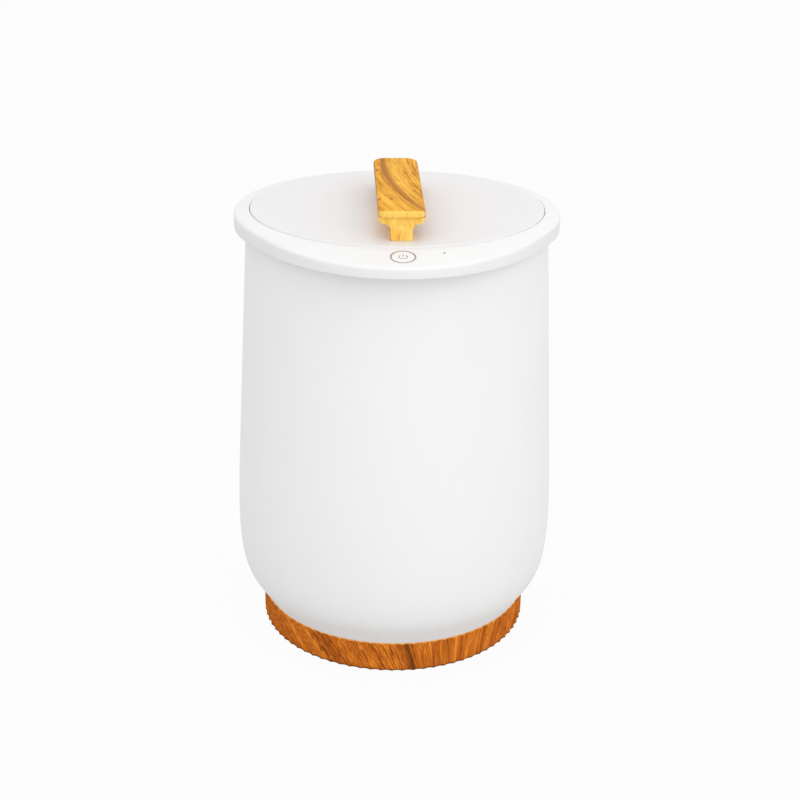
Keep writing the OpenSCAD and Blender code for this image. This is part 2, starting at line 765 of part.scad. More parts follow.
// Cross-section of the collar at a reach: top, shoulder, band, low edge, then the inside and the foot
function collar_section(r) = concat(
    [
        [collar_in_r, collar_in_z - inner_edge_round],
        [collar_in_r + inner_edge_round * 0.3, collar_in_z - inner_edge_round * 0.3],
        [collar_in_r + inner_edge_round, collar_top_z(collar_in_r + inner_edge_round)]
    ],
    [
        for (i = [0:4]) let (a = (90 - collar_slope) * (1 - i / 4), z = collar_top_z(r - shoulder_r))
        [r - shoulder_r + shoulder_r * cos(a), z - shoulder_r / cos(collar_slope) + shoulder_r * sin(a)]
    ],
    [for (i = [0:2]) let (a = -45 * i) [r - edge_round + edge_round * cos(a), collar_low_z + edge_round + edge_round * sin(a)]],
    [
        [r - collar_wall, collar_low_z],
        [r - collar_wall, collar_under_z(r - collar_wall)],
        [collar_in_r + collar_wall, collar_under_z(collar_in_r + collar_wall)],
        [collar_in_r + collar_wall, body_top_z],
        [collar_in_r, body_top_z],
        [collar_in_r, flange_top_z],
        [collar_foot_r, flange_top_z],
        [collar_foot_r, foot_top_z],
        [collar_in_r, foot_top_z]
    ]
);

module collar_body() {
    size = len(collar_section(collar_r));
    points = [
        for (i = [0:collar_steps - 1], p = collar_section(reach(i * 360 / collar_steps)))
        around(p[0], i * 360 / collar_steps, p[1])
    ];
    faces = [
        for (i = [0:collar_steps - 1], j = [0:size - 1], half = [0, 1])
            let (
                next = (i + 1) % collar_steps,
                up = (j + 1) % size,
                a = i * size + j,
                b = next * size + j,
                c = next * size + up,
                d = i * size + up
            )
            half == 0 ? [a, c, d] : [a, b, c]
    ];
    polyhedron(points = points, faces = faces, convexity = 6);
}

module collar() {
    boss_r = 3;
    on_axis() color(shell_white) difference() {
        union() {
            collar_body();
            for (a = tray_screw_angles) translate(around(tray_screw_pitch_r, a, collar_low_z + tray_t + fit_gap))
                cylinder(r = boss_r,
                    h = collar_under_z(tray_screw_pitch_r) + sink - collar_low_z - tray_t - fit_gap, $fn = small_fn);
        }
        on_slope() translate([0, 0, -ring_depth - cut]) cylinder(r = ring_body_r + 0.05, h = ring_depth + 3 * cut);
        on_slope() translate([indicator_x, indicator_local_y, indicator_local_z - 2 * collar_wall])
            cylinder(r = lens_r + 0.05, h = 3 * collar_wall, $fn = small_fn);
        ring_of(collar_screw_count, collar_screw_pitch_r)
            translate([0, 0, flange_top_z - cut])
                cylinder(r = collar_screw_r + pass_gap, h = foot_t + 2 * cut, $fn = small_fn);
        for (a = tray_screw_angles) translate(around(tray_screw_pitch_r, a, collar_low_z))
            cylinder(r = tray_screw_r + bite_gap, h = tray_screw_l + cut, $fn = small_fn);
    }
}

module collar_tray() {
    gap_in = collar_wall + fit_gap;
    on_axis() color(shell_white) difference() {
        union() {
            translate([0, 0, collar_low_z]) linear_extrude(tray_t) polygon([
                for (i = [0:collar_steps - 1]) let (a = i * 360 / collar_steps, r = reach(a) - gap_in)
                [r * sin(a), -r * cos(a)]
            ]);
            // Posts for the control board, square to it
            intersection() {
                on_slope() for (p = control_screw_places) translate([p[0], p[1], -collar_h])
                    cylinder(r = control_post_r, h = collar_h + control_top - control_t, $fn = small_fn);
                translate([0, 0, collar_low_z + tray_t / 2]) cylinder(r = 2 * collar_r, h = collar_h);
            }
        }
        translate([0, 0, collar_low_z - cut]) cylinder(r = tray_in_r, h = tray_t + 2 * cut);
        for (a = tray_screw_angles) translate(around(tray_screw_pitch_r, a, collar_low_z - cut))
            cylinder(r = tray_screw_r + pass_gap, h = tray_t + 2 * cut, $fn = small_fn);
        on_slope() for (p = control_screw_places) translate([p[0], p[1], control_top - control_t - 4])
            cylinder(r = control_screw_r + bite_gap, h = 4 + cut, $fn = small_fn);
    }
}

module collar_screws() {
    on_axis() color(steel) ring_of(collar_screw_count, collar_screw_pitch_r)
        translate([0, 0, foot_top_z]) pan_screw(collar_screw_r, foot_t + flange_t + rim_h - 1.5,
            collar_screw_head_r, collar_screw_head_h);
}

module tray_screws() {
    on_axis() color(steel) for (a = tray_screw_angles) translate(around(tray_screw_pitch_r, a, collar_low_z))
        mirror([0, 0, 1]) pan_screw(tray_screw_r, tray_screw_l, 2.2, 1.2);
}

module control_board() {
    on_axis() color(board_green) on_slope() difference() {
        translate([control_low_x, control_front_y, control_top - control_t])
            cube([control_high_x - control_low_x, control_back_y - control_front_y, control_t]);
        for (p = control_screw_places) translate([p[0], p[1], control_top - control_t - cut])
            cylinder(r = control_screw_r + pass_gap, h = control_t + 2 * cut, $fn = small_fn);
    }
}

module control_screws() {
    on_axis() color(steel) on_slope() for (p = control_screw_places) translate([p[0], p[1], control_top])
        pan_screw(control_screw_r, control_t + 3, 1.9, 1.3);
}

module button_switch() {
    on_axis() color(dark_plastic) on_slope() translate([0, 0, control_top]) difference() {
        translate([-switch_w / 2, -switch_w / 2, 0]) cube([switch_w, switch_w, switch_h]);
        translate([0, 0, 0.4]) cylinder(r = plunger_r + plunger_clearance, h = switch_h, $fn = small_fn);
    }
}

module indicator_led() {
    on_axis() color("#e8efe6") on_slope() translate([indicator_x, indicator_local_y, control_top])
        cylinder(r = 1.5, h = led_h, $fn = small_fn);
}

module indicator_lens() {
    on_axis() color("#8f979c") on_slope()
        translate([indicator_x, indicator_local_y, control_top + led_h + fit_gap])
            cylinder(r = lens_r, h = lens_l - fit_gap + 0.15, $fn = small_fn);
}

module button_ring() {
    on_axis() color("#a9adb0") on_slope() rotate_extrude() polygon([
        [ring_in_r, -ring_depth],
        [ring_body_r, -ring_depth],
        [ring_body_r, 0],
        [ring_r, 0],
        [ring_r, ring_flange_t / 2],
        [ring_r - 0.3, ring_flange_t],
        [ring_in_r + 0.2, ring_flange_t],
        [ring_in_r, ring_flange_t - 0.2]
    ]);
}

module power_button() {
    top = button_proud;
    on_axis() color("#ececea") on_slope() rotate_extrude() polygon([
        [0, top - button_cap_t],
        [button_r - 1.2, top - button_cap_t],
        [button_r - 1.2, top - button_cap_t - 1.2],
        [button_r, top - button_cap_t - 1.2],
        [button_r, top - 0.3],
        [button_r - 0.3, top],
        [0, top]
    ]);
}

module switch_plunger() {
    on_axis() color("#b9b2a4") on_slope() translate([0, 0, plunger_low])
        cylinder(r = plunger_r, h = plunger_top - plunger_low, $fn = small_fn);
}

// Lid

module lid_cover() {
    arc = [
        for (i = [0:5]) let (a = i * 90 / 5)
        [lid_r - lid_round + lid_round * cos(a), lid_top_z - lid_round + lid_round * sin(a)]
    ];
    on_axis() color(shell_white) difference() {
        union() {
            rotate_extrude() polygon(concat(
                [
                    [0, under_cover_z],
                    [lid_r - lid_wall, under_cover_z],
                    [lid_r - lid_wall, lid_low_z],
                    [lid_r, lid_low_z]
                ],
                arc,
                [[0, lid_top_z]]
            ));
            ring_of(lid_screw_count, lid_screw_pitch_r, lid_screw_turn) translate([0, 0, liner_top_z])
                cylinder(r = lid_boss_r, h = under_cover_z - liner_top_z + sink, $fn = small_fn);
        }
        ring_of(lid_screw_count, lid_screw_pitch_r, lid_screw_turn) translate([0, 0, liner_top_z - cut])
            cylinder(r = lid_screw_r + bite_gap, h = under_cover_z - liner_top_z + cut, $fn = small_fn);
        for (y = handle_screw_places) translate([0, y, under_cover_z - cut])
            cylinder(r = handle_screw_r + pass_gap, h = lid_wall + 2 * cut, $fn = small_fn);
    }
}

module lid_liner() {
    on_axis() color("#e4e4e2") difference() {
        rotate_extrude() polygon([
            [0, plug_low_z],
            [plug_r - 3, plug_low_z],
            [plug_r, plug_low_z + 3],
            [plug_r, lid_low_z],
            [lid_r - lid_wall - fit_gap, lid_low_z],
            [lid_r - lid_wall - fit_gap, liner_top_z],
            [plug_r - liner_t, liner_top_z],
            [plug_r - liner_t, plug_low_z + 3.6],
            [plug_r - 3.6, plug_low_z + liner_t],
            [0, plug_low_z + liner_t]
        ]);
        ring_of(lid_screw_count, lid_screw_pitch_r, lid_screw_turn) translate([0, 0, lid_low_z - cut])
            cylinder(r = lid_screw_r + pass_gap, h = liner_t + 2 * cut, $fn = small_fn);
    }
}

module lid_insulation() {
    top_z = under_cover_z - washer_t - handle_screw_head_h - fit_gap;
    low_z = plug_low_z + liner_t;
    on_axis() color(felt_cream) translate([0, 0, low_z]) cylinder(r = plug_r - liner_t - 3, h = top_z - low_z);
}

module lid_seal() {
    seal_low_z = flange_top_z + fit_gap;
    on_axis() color("#c7c7c4") rotate_extrude() polygon([
        [seal_in_r, lid_low_z],
        [seal_in_r, seal_low_z + seal_lip],
        [seal_in_r + seal_lip, seal_low_z],
        [seal_out_r - seal_lip, seal_low_z],
        [seal_out_r, seal_low_z + seal_lip],
        [seal_out_r, lid_low_z]
    ]);
}

module lid_screws() {
    on_axis() color(steel) ring_of(lid_screw_count, lid_screw_pitch_r, lid_screw_turn)
        translate([0, 0, lid_low_z]) mirror([0, 0, 1])
            pan_screw(lid_screw_r, under_cover_z - lid_low_z - 0.3, lid_screw_head_r, lid_screw_head_h);
}

// Handle

// Right half of the rail's cross-section: web, cove, flange with a round lower edge
function rail_half() = concat(
    [[0, 0], [web_w / 2, 0]],
    [
        for (i = [0:4]) let (a = 180 - i * 90 / 4)
        [web_w / 2 + cove_r + cove_r * cos(a), groove_h - cove_r + cove_r * sin(a)]
    ],
    [
        for (i = [0:6]) let (a = -90 + i * 90 / 6)
        [rail_half_w - flange_edge_r + flange_edge_r * cos(a), groove_h + flange_edge_r + flange_edge_r * sin(a)]
    ],
    [[rail_half_w, rail_top_h]]
);

module handle_rail() {
    half = rail_half();
    section = concat(half, [for (i = [len(half) - 1:-1:1]) [-half[i][0], half[i][1]]]);
    on_axis() color(handle_wood) difference() {
        translate([0, rail_back_reach, lid_top_z]) rotate([90, 0, 0]) linear_extrude(rail_l) polygon(section);
        at_handle_screws() translate([0, 0, lid_top_z - cut])
            cylinder(r = handle_screw_r + bite_gap, h = rail_top_h + 2 * cut, $fn = small_fn);
    }
}

// Rounded puck that forms one corner of the handle's cap
module cap_corner(x, y, r) {
    translate([x, y, 0]) rotate_extrude($fn = small_fn) polygon(concat(
        [[0, 0], [r - 0.8, 0], [r, 0.8]],
        [
            for (i = [0:4]) let (a = i * 90 / 4)
            [r - cap_edge_r + cap_edge_r * cos(a), cap_t - cap_edge_r + cap_edge_r * sin(a)]
        ],
        [[0, cap_t]]
    ));
}

module handle_cap() {
    front_x = cap_front_w / 2 - cap_corner_r;
    back_x = cap_back_w / 2 - cap_back_corner_r;
    on_axis() color(handle_wood) translate([0, 0, lid_top_z + rail_top_h]) difference() {
        hull() {
            for (side = [-1, 1]) {
                cap_corner(side * front_x, -cap_front_reach + cap_corner_r, cap_corner_r);
                cap_corner(side * back_x, cap_back_reach - cap_back_corner_r, cap_back_corner_r);
            }
        }
        at_handle_screws() translate([0, 0, -cut])
            cylinder(r = handle_screw_r + bite_gap, h = cap_t / 2 + fit_gap + cut, $fn = small_fn);
    }
}

module at_handle_screws() {
    for (y = handle_screw_places) translate([0, y, 0]) children();
}

module handle_screws() {
    on_axis() color(steel) at_handle_screws() translate([0, 0, under_cover_z - washer_t]) mirror([0, 0, 1])
        pan_screw(handle_screw_r, washer_t + lid_wall + handle_screw_bite, handle_screw_head_r, handle_screw_head_h);
}

module handle_washers() {
    on_axis() color(steel) at_handle_screws() translate([0, 0, under_cover_z - washer_t]) difference() {
        cylinder(r = washer_r, h = washer_t, $fn = small_fn);
        translate([0, 0, -cut]) cylinder(r = handle_screw_r + pass_gap, h = washer_t + 2 * cut, $fn = small_fn);
    }
}

outer_shell();
inner_drum();
rim_ring();
heater_band();
insulation_sleeve();
insulation_disc();
thermostat();
thermal_fuse();
sensor_strip();
sensor_nuts();
base_ring();
base_plate();
base_screws();
rubber_feet();
power_inlet();
inlet_pins();
power_board();
board_parts();
board_screws();
mains_leads();
heater_leads();
control_cable();
collar();
collar_tray();
collar_screws();
tray_screws();
control_board();
control_screws();
button_switch();
indicator_led();
indicator_lens();
button_ring();
power_button();
switch_plunger();
lid_cover();
lid_liner();
lid_insulation();
lid_seal();
lid_screws();
handle_rail();
handle_cap();
handle_screws();
handle_washers();
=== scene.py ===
# Towel warmer bucket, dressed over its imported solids. Sizes are millimetres times MM, so metres
# in the scene, and every piece is drawn where the solids have it.
import math

import bmesh
import bpy
from mathutils import Matrix, Vector


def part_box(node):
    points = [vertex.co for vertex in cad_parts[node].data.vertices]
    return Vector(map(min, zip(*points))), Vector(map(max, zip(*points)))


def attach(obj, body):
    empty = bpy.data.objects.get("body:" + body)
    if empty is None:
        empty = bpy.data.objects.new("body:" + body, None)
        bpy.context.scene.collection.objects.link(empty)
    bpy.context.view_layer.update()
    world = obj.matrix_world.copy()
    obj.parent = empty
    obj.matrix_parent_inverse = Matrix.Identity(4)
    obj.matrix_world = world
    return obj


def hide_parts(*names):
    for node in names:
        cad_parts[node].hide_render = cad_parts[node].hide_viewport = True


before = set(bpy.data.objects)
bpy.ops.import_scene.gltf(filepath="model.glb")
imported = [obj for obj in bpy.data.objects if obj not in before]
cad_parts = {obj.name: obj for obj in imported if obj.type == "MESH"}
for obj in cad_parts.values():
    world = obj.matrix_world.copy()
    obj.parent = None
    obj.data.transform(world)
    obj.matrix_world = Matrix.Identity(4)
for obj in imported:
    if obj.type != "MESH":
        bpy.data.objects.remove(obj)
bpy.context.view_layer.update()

MM = 0.001

# Camera
# The photograph is taken from the front and above, with a normal lens. The bucket is turned
# two degrees, so its front points a little to the right.
lid_low, lid_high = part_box("lid_cover")
axis_y = (lid_low.y + lid_high.y) / 2
camera_distance = 1290.03 * MM
camera_height = 757.06 * MM
camera_pitch = 0.39243
camera_pan = 0.00361
camera_roll = 0.01213
camera_turn = math.radians(2.0)
focal_px = 1450
frame_px = 800
sensor_mm = 36


def aim_camera():
    """Where the camera stands and how it is turned, as one matrix."""
    look = Vector((math.sin(camera_pan) * math.cos(camera_pitch),
                   math.cos(camera_pan) * math.cos(camera_pitch), -math.sin(camera_pitch)))
    level = Vector((math.cos(camera_pan), -math.sin(camera_pan), 0))
    rise = level.cross(look)
    right = level * math.cos(camera_roll) + rise * math.sin(camera_roll)
    up = rise * math.cos(camera_roll) - level * math.sin(camera_roll)
    turn = Matrix.Rotation(-camera_turn, 3, "Z")
    place = turn @ Vector((0, -camera_distance, camera_height)) + Vector((0, axis_y, 0))
    axes = Matrix((turn @ right, turn @ up, turn @ -look)).transposed()
    return Matrix.Translation(place) @ axes.to_4x4()


lens = bpy.data.cameras.new("photo_view")
lens.sensor_width = sensor_mm
lens.lens = focal_px * sensor_mm / frame_px
camera = bpy.data.objects.new("photo_view", lens)
camera.matrix_world = aim_camera()
bpy.context.scene.collection.objects.link(camera)
bpy.context.scene.camera = camera

# Studio
# A white room: a pale floor that keeps the bucket's shadow, a white surround that the camera
# and the glossy parts see, and weak soft lamps: three in front and one above.
bpy.context.scene.view_settings.view_transform = "Standard"
white = (1, 1, 1, 1)
surround_light = 0.955
floor_colour = (0.585, 0.585, 0.585, 1)
floor_glow = 0.95
floor_size = 14.0
lamps = [
    # Name, place, aim and size in metres, power in watts
    ("front_right_lamp", (1.5, -1.7, 1.5), (0, 0, 0.2), 1.6, 9.6),
    ("front_lamp", (0.3, -2.4, 1.0), (0, 0, 0.2), 1.6, 4.3),
    ("front_left_lamp", (-0.9, -2.1, 1.5), (0, 0, 0.2), 1.6, 3.6),
    ("top_lamp", (-0.3, -0.3, 2.4), (0, 0, 0.3), 1.4, 2.5),
]


def node_tree(owner):
    owner.use_nodes = True
    tree = owner.node_tree
    tree.nodes.clear()
    return tree


def feed(tree, socket, value):
    """Gives a socket another socket's value, or a plain number or colour."""
    if isinstance(value, (int, float, tuple)):
        socket.default_value = value
    else:
        tree.links.new(value, socket)


def add_node(tree, kind, values):
    """A shader node with these values, plain or from other sockets, on its own sockets."""
    node = tree.nodes.new(kind)
    for socket, value in values.items():
        feed(tree, node.inputs[socket], value)
    return node


def sums(tree, operation, left, right):
    """One step of arithmetic on sockets or plain numbers."""
    step = add_node(tree, "ShaderNodeMath", {0: left, 1: right})
    step.operation = operation
    return step.outputs[0]


def times(tree, left, right):
    return sums(tree, "MULTIPLY", left, right)


def seen_directly(tree):
    """1 for what the camera sees itself, in a gloss or through a clear part, 0 for light."""
    path = tree.nodes.new("ShaderNodeLightPath")
    seen = sums(tree, "MAXIMUM", path.outputs["Is Camera Ray"], path.outputs["Is Glossy Ray"])
    return sums(tree, "MAXIMUM", seen, path.outputs["Is Transmission Ray"])


def mix_shaders(tree, share, low, high, output):
    """Shows one shader where the share is 0 and another where it is 1."""
    mix = add_node(tree, "ShaderNodeMixShader", {"Fac": share, 1: low.outputs[0], 2: high.outputs[0]})
    add_node(tree, output, {"Surface": mix.outputs[0]})


def make_surround():
    world = bpy.data.worlds.new("white_room")
    bpy.context.scene.world = world
    tree = node_tree(world)
    lit = add_node(tree, "ShaderNodeBackground", {"Color": white, "Strength": surround_light})
    shown = add_node(tree, "ShaderNodeBackground", {"Color": white, "Strength": 1})
    mix_shaders(tree, seen_directly(tree), lit, shown, "ShaderNodeOutputWorld")


def make_floor():
    sheet = bpy.data.meshes.new("floor")
    half = floor_size / 2
    corners = [(-half, -half, 0), (half, -half, 0), (half, half, 0), (-half, half, 0)]
    sheet.from_pydata(corners, [], [(0, 1, 2, 3)])
    floor = bpy.data.objects.new("floor", sheet)
    bpy.context.scene.collection.objects.link(floor)
    paint = bpy.data.materials.new("floor_white")
    tree = node_tree(paint)
    matte = add_node(tree, "ShaderNodeBsdfDiffuse", {"Color": floor_colour})
    glow = add_node(tree, "ShaderNodeEmission", {"Color": white, "Strength": 1})
    share = times(tree, seen_directly(tree), floor_glow)
    mix_shaders(tree, share, matte, glow, "ShaderNodeOutputMaterial")
    sheet.materials.append(paint)


def soft_lamp(name, place, aim, size, power):
    lamp = bpy.data.lights.new(name, "AREA")
    lamp.shape = "DISK"
    lamp.size = size
    lamp.energy = power
    holder = bpy.data.objects.new(name, lamp)
    holder.location = place
    holder.rotation_euler = (Vector(aim) - Vector(place)).to_track_quat("-Z", "Y").to_euler()
    bpy.context.scene.collection.objects.link(holder)


make_surround()
make_floor()
for lamp_values in lamps:
    soft_lamp(*lamp_values)

# Body shell
# One white moulded shell: a straight taper that widens downwards, then a full round bottom that
# turns in to the base. Its floor has a wide opening, and the drum hangs inside it.
body_top_r = 137.8
body_top_z = 403.5
belly_r = 150.3
belly_z = 170
base_top_z = 31
shell_wall = 2.5
neck_r = 129.3
neck_edge = 0.4
floor_opening_r = 100
bottom_curve = [(belly_r, belly_z), (156.8, 48.58), (145.1, 62), (neck_r, base_top_z)]
bottom_steps = 40
rim_low_z = 397.5
ledge_low_z = 395.5
ledge_in_r = 132.3
ledge_slant = 3.3
ledge_root = 0.3
side_step = 20
floor_play = 0.2
floor_corner = 0.6
round_steps = 288
sharp_edge = math.radians(32)
white_body = (0.88, 0.88, 0.877, 1)


def keep_crisp(bm, sharp):
    """Smooth shading, but with each edge that turns more than the sharp angle left crisp."""
    for face in bm.faces:
        face.smooth = True
    for edge in bm.edges:
        edge.smooth = not (len(edge.link_faces) == 2 and edge.calc_face_angle(0) > sharp)


def link_mesh(name, bm, sharp=sharp_edge):
    """Finishes a mesh: outward faces, smooth shading with crisp edges, then an object at the origin."""
    bmesh.ops.recalc_face_normals(bm, faces=bm.faces)
    keep_crisp(bm, sharp)
    sheet = bpy.data.meshes.new(name)
    bm.to_mesh(sheet)
    bm.free()
    piece = bpy.data.objects.new(name, sheet)
    bpy.context.scene.collection.objects.link(piece)
    return piece


def point_at(bm, x, y, z):
    """A point of a mesh, in millimetres from the bucket's axis."""
    return bm.verts.new((x * MM, axis_y + y * MM, z * MM))


def point_round(bm, radius, angle, z):
    return point_at(bm, radius * math.cos(angle), radius * math.sin(angle), z)


def turned(name, outline, steps=round_steps, closed=True):
    """Turns an outline of (radius, height) in millimetres round the bucket's axis."""
    bm = bmesh.new()
    rings = []
    for radius, height in outline:
        on_axis = radius < 1e-6
        count = 1 if on_axis else steps
        rings.append([point_round(bm, radius, math.tau * i / count, height) for i in range(count)])
    join_rings(bm, rings, closed)
    return link_mesh(name, bm)


def join_rings(bm, rings, closed):
    """Skins neighbouring rings of points with faces. A ring of one point makes a fan."""
    pairs = list(zip(rings, rings[1:]))
    if closed:
        pairs.append((rings[-1], rings[0]))
    for low, high in pairs:
        steps = max(len(low), len(high))
        for i in range(steps):
            k = (i + 1) % steps
            corners = [low[i % len(low)], low[k % len(low)], high[k % len(high)], high[i % len(high)]]
            bm.faces.new(list(dict.fromkeys(corners)))


def arc(middle_r, middle_z, radius, start, end, steps=6):
    """Points of a round in an outline, from one angle to another in degrees."""
    angles = [math.radians(start + (end - start) * i / steps) for i in range(steps + 1)]
    return [(middle_r + radius * math.cos(angle), middle_z + radius * math.sin(angle)) for angle in angles]


def curve_point(points, t):
    """A point of a curve that is drawn by four points, from t = 0 at the first to 1 at the last."""
    weights = ((1 - t) ** 3, 3 * (1 - t) ** 2 * t, 3 * (1 - t) * t * t, t ** 3)
    across = sum(weight * point[0] for weight, point in zip(weights, points))
    up = sum(weight * point[1] for weight, point in zip(weights, points))
    return Vector((across, up))


def curve_outward(points, t):
    """The direction square to that curve, away from the bucket's axis."""
    weights = ((1 - t) ** 2, 2 * (1 - t) * t, t * t)
    slope = Vector((0, 0))
    for weight, here, after in zip(weights, points, points[1:]):
        slope += weight * Vector((after[0] - here[0], after[1] - here[1]))
    return Vector((-slope.y, slope.x)).normalized()


def shell_outline():
    shares = [i / bottom_steps for i in range(bottom_steps + 1)]
    outer = [curve_point(bottom_curve, t) for t in shares]
    inner = [curve_point(bottom_curve, t) - shell_wall * curve_outward(bottom_curve, t) for t in shares]
    floor_z = base_top_z + shell_wall
    inner = [point for point in inner if point.y > floor_z + floor_play]
    taper = (belly_r - body_top_r) / (body_top_z - belly_z)
    heights = range(belly_z + side_step, int(body_top_z), side_step)
    side = [(body_top_r + (body_top_z - z) * taper, z) for z in heights]
    rim_r = body_top_r + (body_top_z - rim_low_z) * taper - shell_wall
    return (
        [(floor_opening_r, floor_z), (floor_opening_r, base_top_z), (neck_r - neck_edge, base_top_z)]
        + [tuple(point) for point in reversed(outer[:-1])]
        + side
        + [(body_top_r, body_top_z), (body_top_r - shell_wall, body_top_z), (rim_r, rim_low_z)]
        + [(ledge_in_r, rim_low_z), (ledge_in_r, ledge_low_z)]
        + [(rim_r + ledge_root, ledge_low_z - ledge_slant)]
        + [tuple(point) for point in inner]
        + [(inner[-1].x - floor_corner, floor_z)]
    )


def principled(name, colour, roughness, constants=None):
    """A material with the Principled shader, its constants set on the shader's own sockets."""
    finish = bpy.data.materials.new(name)
    tree = node_tree(finish)
    shader = tree.nodes.new("ShaderNodeBsdfPrincipled")
    shader.inputs["Base Color"].default_value = colour
    shader.inputs["Roughness"].default_value = roughness
    for socket, value in (constants or {}).items():
        shader.inputs[socket].default_value = value
    out = tree.nodes.new("ShaderNodeOutputMaterial")
    tree.links.new(shader.outputs[0], out.inputs["Surface"])
    return finish, tree, shader


def own_place(tree, stretch=(1, 1, 1), move=(0, 0, 0)):
    """Coordinates fixed to the piece, in metres, stretched along its axes and then moved."""
    place = tree.nodes.new("ShaderNodeTexCoord").outputs["Object"]
    change = add_node(tree, "ShaderNodeMapping", {"Vector": place, "Scale": stretch, "Location": move})
    return change.outputs[0]


def cloud(tree, place, scale, detail=3, rough=0.5, warp=0.0):
    values = {"Vector": place, "Scale": scale, "Detail": detail, "Roughness": rough, "Distortion": warp}
    return add_node(tree, "ShaderNodeTexNoise", values).outputs["Fac"]


def ramp(tree, value, stops):
    """Colours a value through (position, colour) stops."""
    band = tree.nodes.new("ShaderNodeValToRGB")
    while len(band.color_ramp.elements) < len(stops):
        band.color_ramp.elements.new(0.5)
    for element, (position, colour) in zip(band.color_ramp.elements, stops):
        element.position = position
        element.color = colour
    tree.links.new(value, band.inputs["Fac"])
    return band.outputs["Color"]


def spread(tree, value, low, high, new_low, new_high, kind="LINEAR"):
    """Maps a value from one range to another and holds it there."""
    values = {"Value": value, "From Min": low, "From Max": high, "To Min": new_low, "To Max": new_high}
    scale = add_node(tree, "ShaderNodeMapRange", values)
    scale.interpolation_type = kind
    return scale.outputs["Result"]


def raise_surface(tree, shader, height, depth, strength=1.0, before=None):
    """A bump from a height value, with its depth in metres."""
    bump = add_node(tree, "ShaderNodeBump", {"Height": height, "Distance": depth, "Strength": strength})
    if before is not None:
        tree.links.new(before, bump.inputs["Normal"])
    tree.links.new(bump.outputs[0], shader.inputs["Normal"])
    return bump.outputs[0]


def shade(colour, factor):
    return (colour[0] * factor, colour[1] * factor, colour[2] * factor, 1)


def set_colour(tree, shader, colour):
    tree.links.new(colour, shader.inputs["Base Color"])


def set_roughness(tree, shader, value):
    tree.links.new(value, shader.inputs["Roughness"])


def moulded_plastic(name, colour, roughness=0.45, grain=0.012, tone=0.985, gloss=0.12):
    """Moulded plastic: a fine satin grain, faint flow marks and a roughness that wanders a little."""
    finish, tree, shader = principled(name, colour, roughness, {"Specular IOR Level": gloss})
    place = own_place(tree)
    flow = cloud(tree, own_place(tree, (1, 1, 0.35)), 14, 4, 0.55, 0.4)
    wander = cloud(tree, place, 60)
    set_colour(tree, shader, ramp(tree, flow, [(0.3, shade(colour, tone)), (0.7, colour)]))
    set_roughness(tree, shader, spread(tree, wander, 0.3, 0.7, roughness - 0.03, roughness + 0.04))
    satin = raise_surface(tree, shader, cloud(tree, place, 1600, 2), grain * MM, 0.5)
    raise_surface(tree, shader, cloud(tree, place, 90, 1), grain * 4 * MM, 0.25, satin)
    return finish


def wear(piece, finish, body, node_slot, *nodes):
    """Gives a piece its material, the body it rides on and the nodes that it stands for. Its node_slot is
    not used.
    """
    piece.data.materials.append(finish)
    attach(piece, body)
    if nodes:
        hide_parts(*nodes)
    return piece


shell_white = moulded_plastic("satin_white_shell", white_body)
wear(turned("body_shell", shell_outline()), shell_white, "bucket", "body_white", "outer_shell")

# Base ring
# A turned wooden ring with shallow hollow flutes all the way round, oiled to a warm brown. The
# shell stands on it, and the same screws clamp both. Its back has a seat and a window for the inlet.
crest_r = 129.8
flute_count = 80
flute_depth = 1.4
flute_points = 10
flute_levels = (8, 16, 24)
crest_land = 0.12
ring_low_z = 1.2
ring_in_r = 118
step_r = 121
step_z = 5.2
ring_edge = 0.9
inlet_w = 24
inlet_h = 15
inlet_face_y = 127.2
inlet_mid_z = 16.1
inlet_flange_t = 2
seat_play = 0.3
window_side = 2
window_edge = 1.5
cut_past = 5
base_brown = (0.57, 0.148, 0.017, 1)
base_dark = (0.2, 0.048, 0.008, 1)
base_light = (0.88, 0.295, 0.034, 1)
base_heart = (0.13, 0.034, 0.008, 1)
# Painted highlight colour for the flutes' top arris.
base_highlight = (0.93, 0.44, 0.09, 1)
base_slant = 0.35
base_slant_change = 6.9
base_grain_stretch = (1, 1, 0.03)
base_band_x = 16.5
base_band_half = 3.8
base_band_share = 0.85
base_highlight_half = 2.0
# Half height of the painted shade along the ring's foot.
foot_shade_half = 3.0


def flute_radii():
    """Radius and angle of each point round the fluted wall, starting on a crest."""
    chord = 2 * crest_r * math.sin(math.pi / flute_count)
    hollow_r = ((chord / 2) ** 2 + flute_depth ** 2) / (2 * flute_depth)
    middle = crest_r * math.cos(math.pi / flute_count) + hollow_r - flute_depth
    half = math.asin(chord / 2 / hollow_r)
    points = []
    for j in range(flute_points):
        swing = math.pi + half - 2 * half * j / flute_points
        x = middle + hollow_r * math.cos(swing)
        y = hollow_r * math.sin(swing)
        points.append((min(math.hypot(x, y), crest_r - crest_land), math.atan2(y, x)))
    return points


def edge_round(radius, steps):
    """Depth and inset of the points round an edge, from the flat face to the wall."""
    angles = [math.pi / 2 * i / steps for i in range(steps + 1)]
    return [(radius * (1 - math.cos(angle)), radius * (1 - math.sin(angle))) for angle in angles]


def fluted_ring():
    flute = flute_radii()
    rounding = edge_round(ring_edge, 3)
    levels = [(ring_low_z + depth, inset) for depth, inset in rounding]
    levels += [(z, 0.0) for z in flute_levels]
    levels += [(base_top_z - depth, inset) for depth, inset in reversed(rounding)]
    bm = bmesh.new()
    rings = [[
        point_round(bm, radius - inset, angle + math.tau * i / flute_count, z)
        for i in range(flute_count) for radius, angle in flute
    ] for z, inset in levels]
    count = flute_count * flute_points
    for radius, z in ((ring_in_r, base_top_z), (ring_in_r, step_z), (step_r, step_z), (step_r, ring_low_z)):
        rings.append([point_round(bm, radius, math.tau * i / count, z) for i in range(count)])
    join_rings(bm, rings, True)
    return link_mesh("fluted_base", bm)


